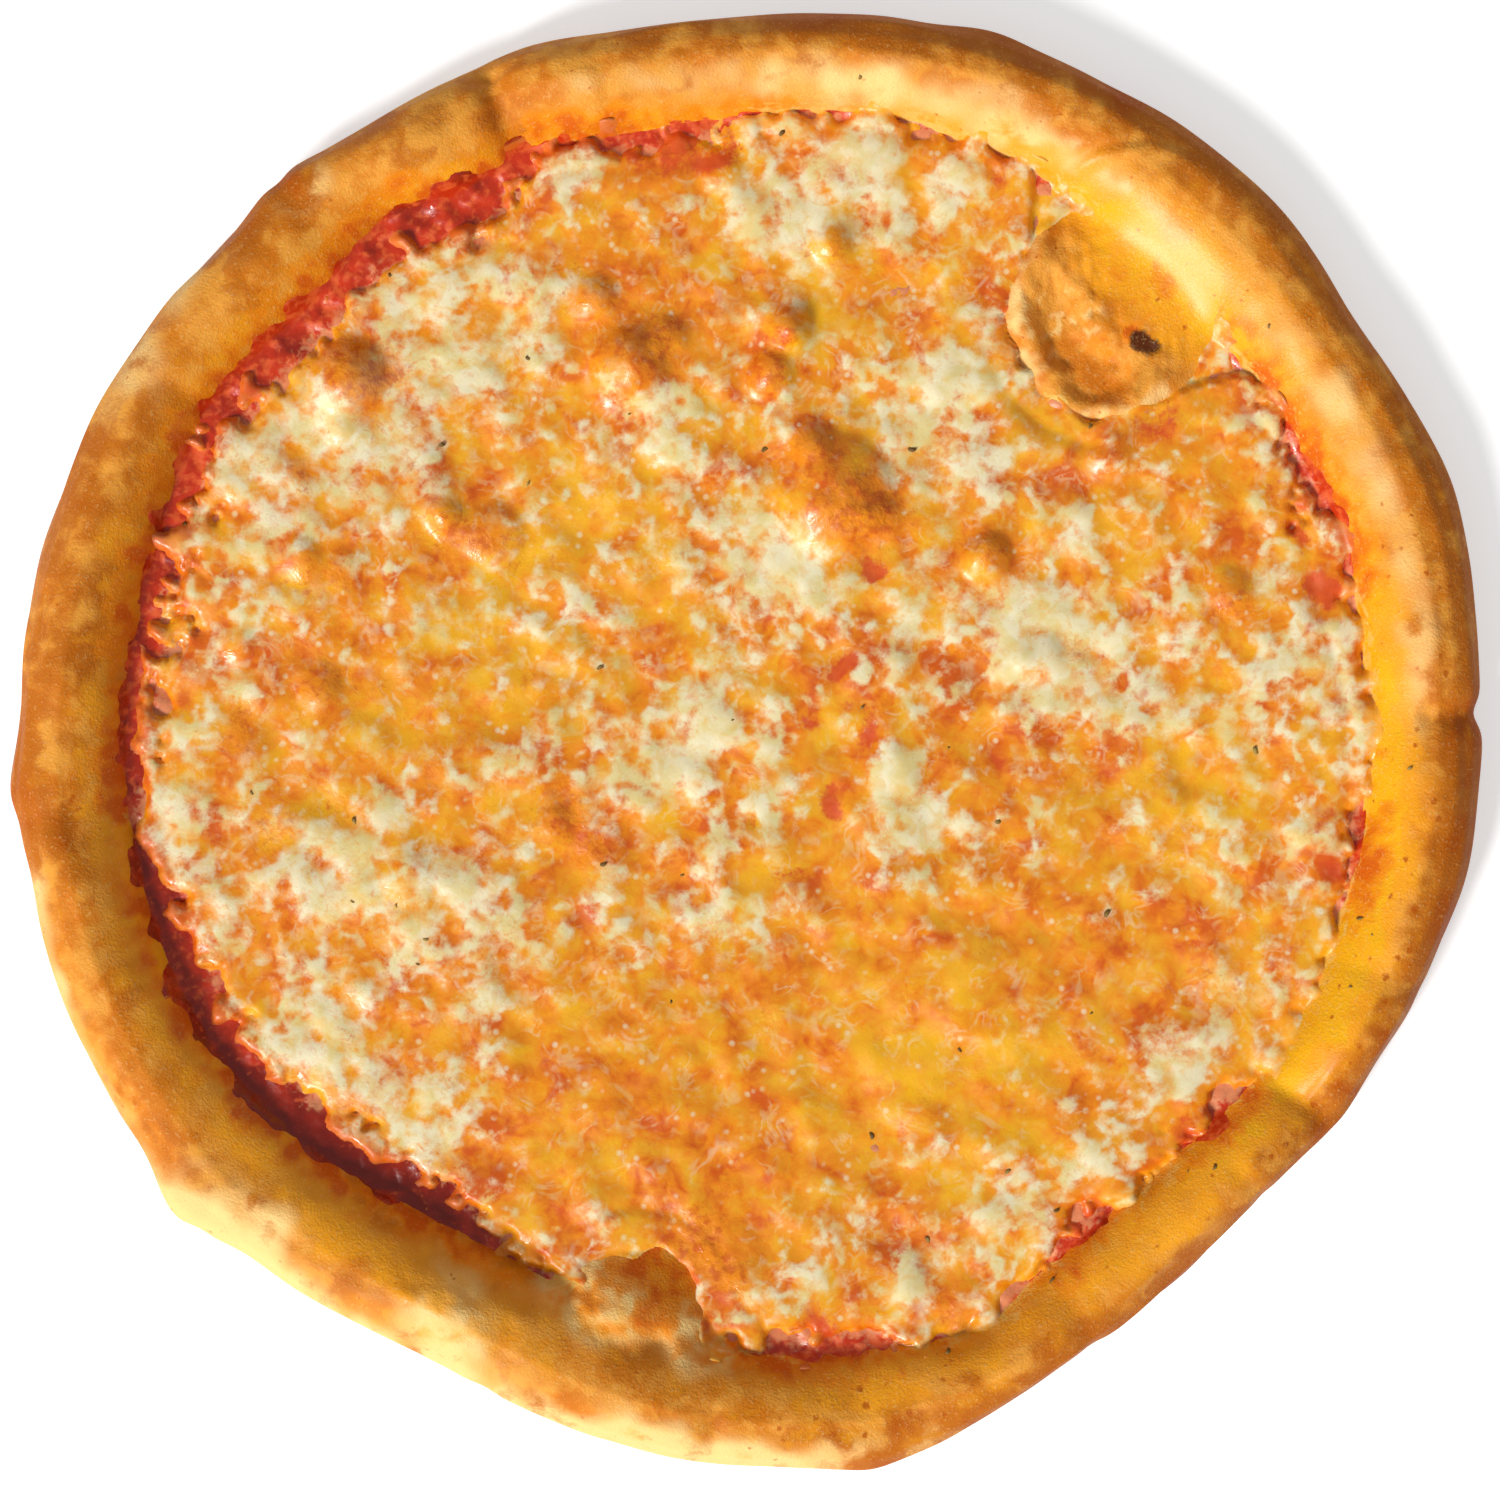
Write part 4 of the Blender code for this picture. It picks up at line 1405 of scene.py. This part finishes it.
        oil = tray.marks(OIL_POOLS, 0.0022, 95) + 0.16 * tray.noise(97, 0.007)
        sauce = sauce + 0.09 * np.maximum(tray.noise(98, 0.005), 0)
        sauce = sauce + 0.08 * np.maximum(tray.noise(99, 0.010), 0)
        sauce = sauce - 0.35 * smooth(melt, 0.5, 0.9)
        brown_and_shade = brown_and_shade + 0.13 * np.maximum(tray.noise(100, 0.009), 0)
        herbs = (cover > 0.6) * np.clip(0.5 + 0.3 * tray.noise(103, 0.02), 0, 1)
        # Browner, and so darker, towards the left side of the cheese
        brown_and_shade = brown_and_shade + 0.20 * smooth(-tray.x, -0.02, 0.10)
        marks = {"melt": melt, "oil": oil, "sauce": sauce, "brown_and_shade": brown_and_shade, "herbs": herbs, "red": red}
        return {"top": top, "inside": dough.within_band(), **marks}

    def build(self) -> bpy.types.Object:
        """Makes the cheese's mesh from rings of six times their number of points, for even triangles.

        Returns:
            The cheese, closed, running in under the sauce and the toe of the rim.
        """
        tray = self.tray
        starts, share, angles = [0, 1], [np.zeros(1)], [np.zeros(1)]
        for k in range(1, self.rings + 1):
            share.append(np.full(6 * k, k / self.rings))
            angles.append(np.arange(6 * k) * 60 / k)
            starts.append(starts[-1] + 6 * k)
        share, angles = np.concatenate(share), np.concatenate(angles)
        reach = self.dough.toe(angles) + self.past_toe
        middle = reach.mean()
        radius = share * middle + (reach - middle) * smooth(share, 0.6, 1)
        turn = np.radians(angles)
        x, y = radius * np.cos(turn), radius * np.sin(turn)
        grids = self.fields()
        points = np.stack([x, y, tray.read(grids.pop("top"), x, y)], -1)
        faces = []
        for k in range(1, self.rings + 1):
            outer = starts[k] + np.arange(6 * k)
            if k == 1:
                faces.append(np.stack([np.zeros(6, int), outer, np.roll(outer, -1)], -1))
                continue
            count = 6 * (k - 1)
            side, step = np.divmod(np.arange(6 * k), k)
            first = starts[k - 1] + (side * (k - 1) + step) % count
            before = starts[k - 1] + (side * (k - 1) + step - 1) % count
            faces.append(np.stack([first, outer, np.roll(outer, -1)], -1))
            faces.append(np.stack([before, outer, first], -1)[step > 0])
        rim = starts[self.rings] + np.arange(6 * self.rings)
        foot = len(points) + np.arange(len(rim))
        lower = points[rim]
        lower[:, 2] = self.under
        points = np.concatenate([points, lower, [[0, 0, self.under]]])
        beside, below = np.roll(rim, -1), np.roll(foot, -1)
        hub = np.full(len(rim), len(points) - 1)
        faces += [np.stack([rim, foot, below], -1), np.stack([rim, below, beside], -1)]
        faces.append(np.stack([foot, hub, below], -1))
        marks = {name: tray.read(grid, points[:, 0], points[:, 1]) for name, grid in grids.items()}
        marks["herbs"][starts[-1] :] = 0
        return make_piece("mozzarella_melted", points, np.concatenate(faces), **marks)


@dataclass
class HerbFlakes:
    """Dried herb flakes, scattered over the toppings and the rim's inner slope."""

    density: float = 1500.0
    smallest: float = 0.55
    largest: float = 1.5
    seed: int = 7

    def flake(self) -> bpy.types.Object:
        """One small curled flake, about a millimetre across.

        Returns:
            The flake.
        """
        rng = np.random.default_rng(111)
        around = np.arange(7) * 2 * math.pi / 7
        radius = 0.00055 * rng.uniform(0.65, 1.15, 7)
        x, y = 1.35 * radius * np.cos(around), 0.8 * radius * np.sin(around)
        curl = 150 * x**2
        upper = np.stack([x, y, curl + 0.00011], -1)
        lower = np.stack([x, y, curl], -1)
        points = np.concatenate([upper, lower, [[0, 0, 0.0002], [0, 0, -0.00003]]])
        order = np.arange(7)
        beside = (order + 1) % 7
        faces = [
            np.stack([np.full(7, 14), order, beside], -1),
            np.stack([np.full(7, 15), 7 + beside, 7 + order], -1),
            np.stack([order, 7 + order, 7 + beside], -1),
            np.stack([order, 7 + beside, beside], -1),
        ]
        return make_piece("herb_flake", points, np.concatenate(faces))

    def tree(self) -> bpy.types.GeometryNodeTree:
        """The node tree that scatters flakes over a surface where its herbs value allows.

        Returns:
            The node tree.
        """
        tree = bpy.data.node_groups.new("herb scatter", "GeometryNodeTree")
        sides = tree.interface
        sides.new_socket("Surface", in_out="INPUT", socket_type="NodeSocketGeometry")
        for name, kind in (
            ("Flake", "Object"),
            ("Flakes per square metre", "Float"),
            ("Smallest", "Float"),
            ("Largest", "Float"),
            ("Seed", "Int"),
            ("Finish", "Material"),
        ):
            sides.new_socket(name, in_out="INPUT", socket_type="NodeSocket" + kind)
        sides.new_socket("Flakes", in_out="OUTPUT", socket_type="NodeSocketGeometry")
        nodes, link = tree.nodes, tree.links.new
        given, result = nodes.new("NodeGroupInput").outputs, nodes.new("NodeGroupOutput")
        allowed = nodes.new("GeometryNodeInputNamedAttribute")
        allowed.inputs["Name"].default_value = "herbs"
        share = nodes.new("ShaderNodeMath")
        share.operation = "MULTIPLY"
        link(given["Flakes per square metre"], share.inputs[0])
        link(allowed.outputs["Attribute"], share.inputs[1])
        points = nodes.new("GeometryNodeDistributePointsOnFaces")
        link(given["Surface"], points.inputs["Mesh"])
        link(share.outputs[0], points.inputs["Density"])
        link(given["Seed"], points.inputs["Seed"])
        turn = nodes.new("FunctionNodeRandomValue")
        turn.data_type = "FLOAT_VECTOR"
        turn.inputs["Min"].default_value = (-0.5, -0.5, -math.pi)
        turn.inputs["Max"].default_value = (0.5, 0.5, math.pi)
        size = nodes.new("FunctionNodeRandomValue")
        link(given["Seed"], turn.inputs["Seed"])
        link(given["Seed"], size.inputs["Seed"])
        link(given["Smallest"], size.inputs[2])
        link(given["Largest"], size.inputs[3])
        face = nodes.new("FunctionNodeRotateRotation")
        face.rotation_space = "LOCAL"
        link(points.outputs["Rotation"], face.inputs["Rotation"])
        link(turn.outputs["Value"], face.inputs["Rotate By"])
        source = nodes.new("GeometryNodeObjectInfo")
        link(given["Flake"], source.inputs["Object"])
        copies = nodes.new("GeometryNodeInstanceOnPoints")
        link(points.outputs["Points"], copies.inputs["Points"])
        link(source.outputs["Geometry"], copies.inputs["Instance"])
        link(face.outputs["Rotation"], copies.inputs["Rotation"])
        link(size.outputs[1], copies.inputs["Scale"])
        real = nodes.new("GeometryNodeRealizeInstances")
        link(copies.outputs["Instances"], real.inputs["Geometry"])
        dressed = nodes.new("GeometryNodeSetMaterial")
        link(real.outputs["Geometry"], dressed.inputs["Geometry"])
        link(given["Finish"], dressed.inputs["Material"])
        link(dressed.outputs["Geometry"], result.inputs["Flakes"])
        return tree

    def build(self, surface: bpy.types.Object, name: str) -> bpy.types.Object:
        """Scatters flakes over a surface and turns them into one plain mesh.

        Args:
            surface: A finished piece with a herbs value.
            name: The new piece's name.

        Returns:
            The flakes.
        """
        tree = self.tree()
        flake = self.flake()
        holder = bpy.data.objects.new(name + "_holder", surface.data.copy())
        bpy.context.scene.collection.objects.link(holder)
        scatter = holder.modifiers.new("scatter", "NODES")
        scatter.node_group = tree
        values = {
            "Flake": flake,
            "Flakes per square metre": self.density,
            "Smallest": self.smallest,
            "Largest": self.largest,
            "Seed": self.seed,
            "Finish": HerbFinish().make(),
        }
        for item in tree.interface.items_tree:
            if item.in_out == "INPUT" and item.name in values:
                scatter[item.identifier] = values[item.name]
        graph = bpy.context.evaluated_depsgraph_get()
        mesh = bpy.data.meshes.new_from_object(holder.evaluated_get(graph), depsgraph=graph)
        piece = bpy.data.objects.new(name, mesh)
        mesh.name = name
        bpy.context.scene.collection.objects.link(piece)
        for helper in (holder, flake):
            bpy.data.objects.remove(helper)
        return piece


@dataclass
class Studio:
    """A pale floor, soft white light from the lower left, and a camera straight above."""

    frame_width: float = 0.30975
    camera_height: float = 1.5
    subject_height: float = 0.008
    aim: tuple[float, float] = (0.00093, -0.00124)
    sensor: float = 36.0
    key_angle: float = 230.0
    key_elevation: float = 38.0
    key_strength: float = 3.5
    key_softness: float = 16.0
    sky_strength: float = 0.33
    floor_side: float = 6.0

    def floor(self) -> bpy.types.Object:
        """The floor: white to the camera, and it keeps the pizza's shadow.

        Returns:
            The floor.
        """
        half = self.floor_side / 2
        corners = np.array([[-half, -half, 0], [half, -half, 0], [half, half, 0], [-half, half, 0]])
        floor = make_piece("floor", corners, np.array([[0, 1, 2], [0, 2, 3]]))
        recipe = Recipe("pale floor")
        recipe.set("Base Color", (0.80, 0.80, 0.80, 1))
        recipe.set("Roughness", 0.9)
        recipe.set("Specular IOR Level", 0.0)
        nodes, link = recipe.tree.nodes, recipe.tree.links.new
        path = nodes.new("ShaderNodeLightPath")
        seen = recipe.sum("MAXIMUM", path.outputs["Is Camera Ray"], path.outputs["Is Glossy Ray"])
        seen = recipe.sum("MAXIMUM", seen, path.outputs["Is Transmission Ray"])
        glow = nodes.new("ShaderNodeEmission")
        glow.inputs["Color"].default_value = (1, 1, 1, 1)
        link(recipe.times(seen, 0.5), glow.inputs["Strength"])
        both = nodes.new("ShaderNodeAddShader")
        link(recipe.shader.outputs[0], both.inputs[0])
        link(glow.outputs[0], both.inputs[1])
        link(both.outputs[0], nodes["Material Output"].inputs["Surface"])
        floor.data.materials.append(recipe.material)
        return floor

    def light(self) -> None:
        """The key light and the even light from all round."""
        lamp = bpy.data.lights.new("key", "SUN")
        lamp.energy = self.key_strength
        lamp.angle = math.radians(self.key_softness)
        key = bpy.data.objects.new("key", lamp)
        bpy.context.scene.collection.objects.link(key)
        turn, rise = math.radians(self.key_angle), math.radians(self.key_elevation)
        towards = Vector((math.cos(turn) * math.cos(rise), math.sin(turn) * math.cos(rise), math.sin(rise)))
        key.rotation_euler = towards.to_track_quat("Z", "Y").to_euler()
        world = bpy.data.worlds.new("studio")
        world.use_nodes = True
        nodes, link = world.node_tree.nodes, world.node_tree.links.new
        back = nodes["Background"]
        back.inputs["Color"].default_value = (1, 1, 1, 1)
        path = nodes.new("ShaderNodeLightPath")
        level = nodes.new("ShaderNodeMapRange")
        link(path.outputs["Is Camera Ray"], level.inputs["Value"])
        level.inputs["To Min"].default_value = self.sky_strength
        level.inputs["To Max"].default_value = 1.0
        link(level.outputs["Result"], back.inputs["Strength"])
        bpy.context.scene.world = world

    def camera(self) -> None:
        """A long lens straight above, framed on the pizza."""
        lens = bpy.data.cameras.new("camera")
        distance = self.camera_height - self.subject_height
        lens.sensor_width = self.sensor
        lens.lens = self.sensor * distance / self.frame_width
        lens.clip_end = 20
        camera = bpy.data.objects.new("camera", lens)
        camera.location = (*self.aim, self.camera_height)
        bpy.context.scene.collection.objects.link(camera)
        bpy.context.scene.camera = camera

    def build(self) -> None:
        """Sets the stage round the pizza."""
        scene = bpy.context.scene
        scene.view_settings.view_transform = "Standard"
        self.floor()
        self.light()
        self.camera()


def dress(piece: bpy.types.Object, finish: object, node: str) -> None:
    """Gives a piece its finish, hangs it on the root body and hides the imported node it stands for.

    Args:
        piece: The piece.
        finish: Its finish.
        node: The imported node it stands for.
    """
    piece.data.materials.append(finish.make())
    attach(piece, "root")
    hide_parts(node)
    LOG.info("%s: %d triangles", piece.name, len(piece.data.polygons))


def main() -> None:
    """Builds the pizza's looks, piece by piece."""
    logging.basicConfig(level=logging.INFO, format="%(name)s: %(message)s")
    for old in list(bpy.data.objects):
        bpy.data.objects.remove(old)
    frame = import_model()
    nodes = frame["nodes"]
    tray = Tray()
    dough = Dough(Skin(nodes["crust"]), tray)
    crust = dough.build()
    dress(crust, CrustFinish(), "crust")
    spread = Sauce(Skin(nodes["sauce"]), dough, tray)
    sauce = spread.build()
    dress(sauce, SauceFinish(), "sauce")
    cheese = Cheese(Skin(nodes["mozzarella"]), dough, spread, tray).build()
    dress(cheese, CheeseFinish(), "mozzarella")
    for surface, name in ((cheese, "oregano_flakes"), (crust, "oregano_flakes_on_rim")):
        flakes = HerbFlakes().build(surface, name)
        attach(flakes, "root")
        LOG.info("%s: %d triangles", flakes.name, len(flakes.data.polygons))
    Studio().build()


if __name__ == "__main__":
    main()
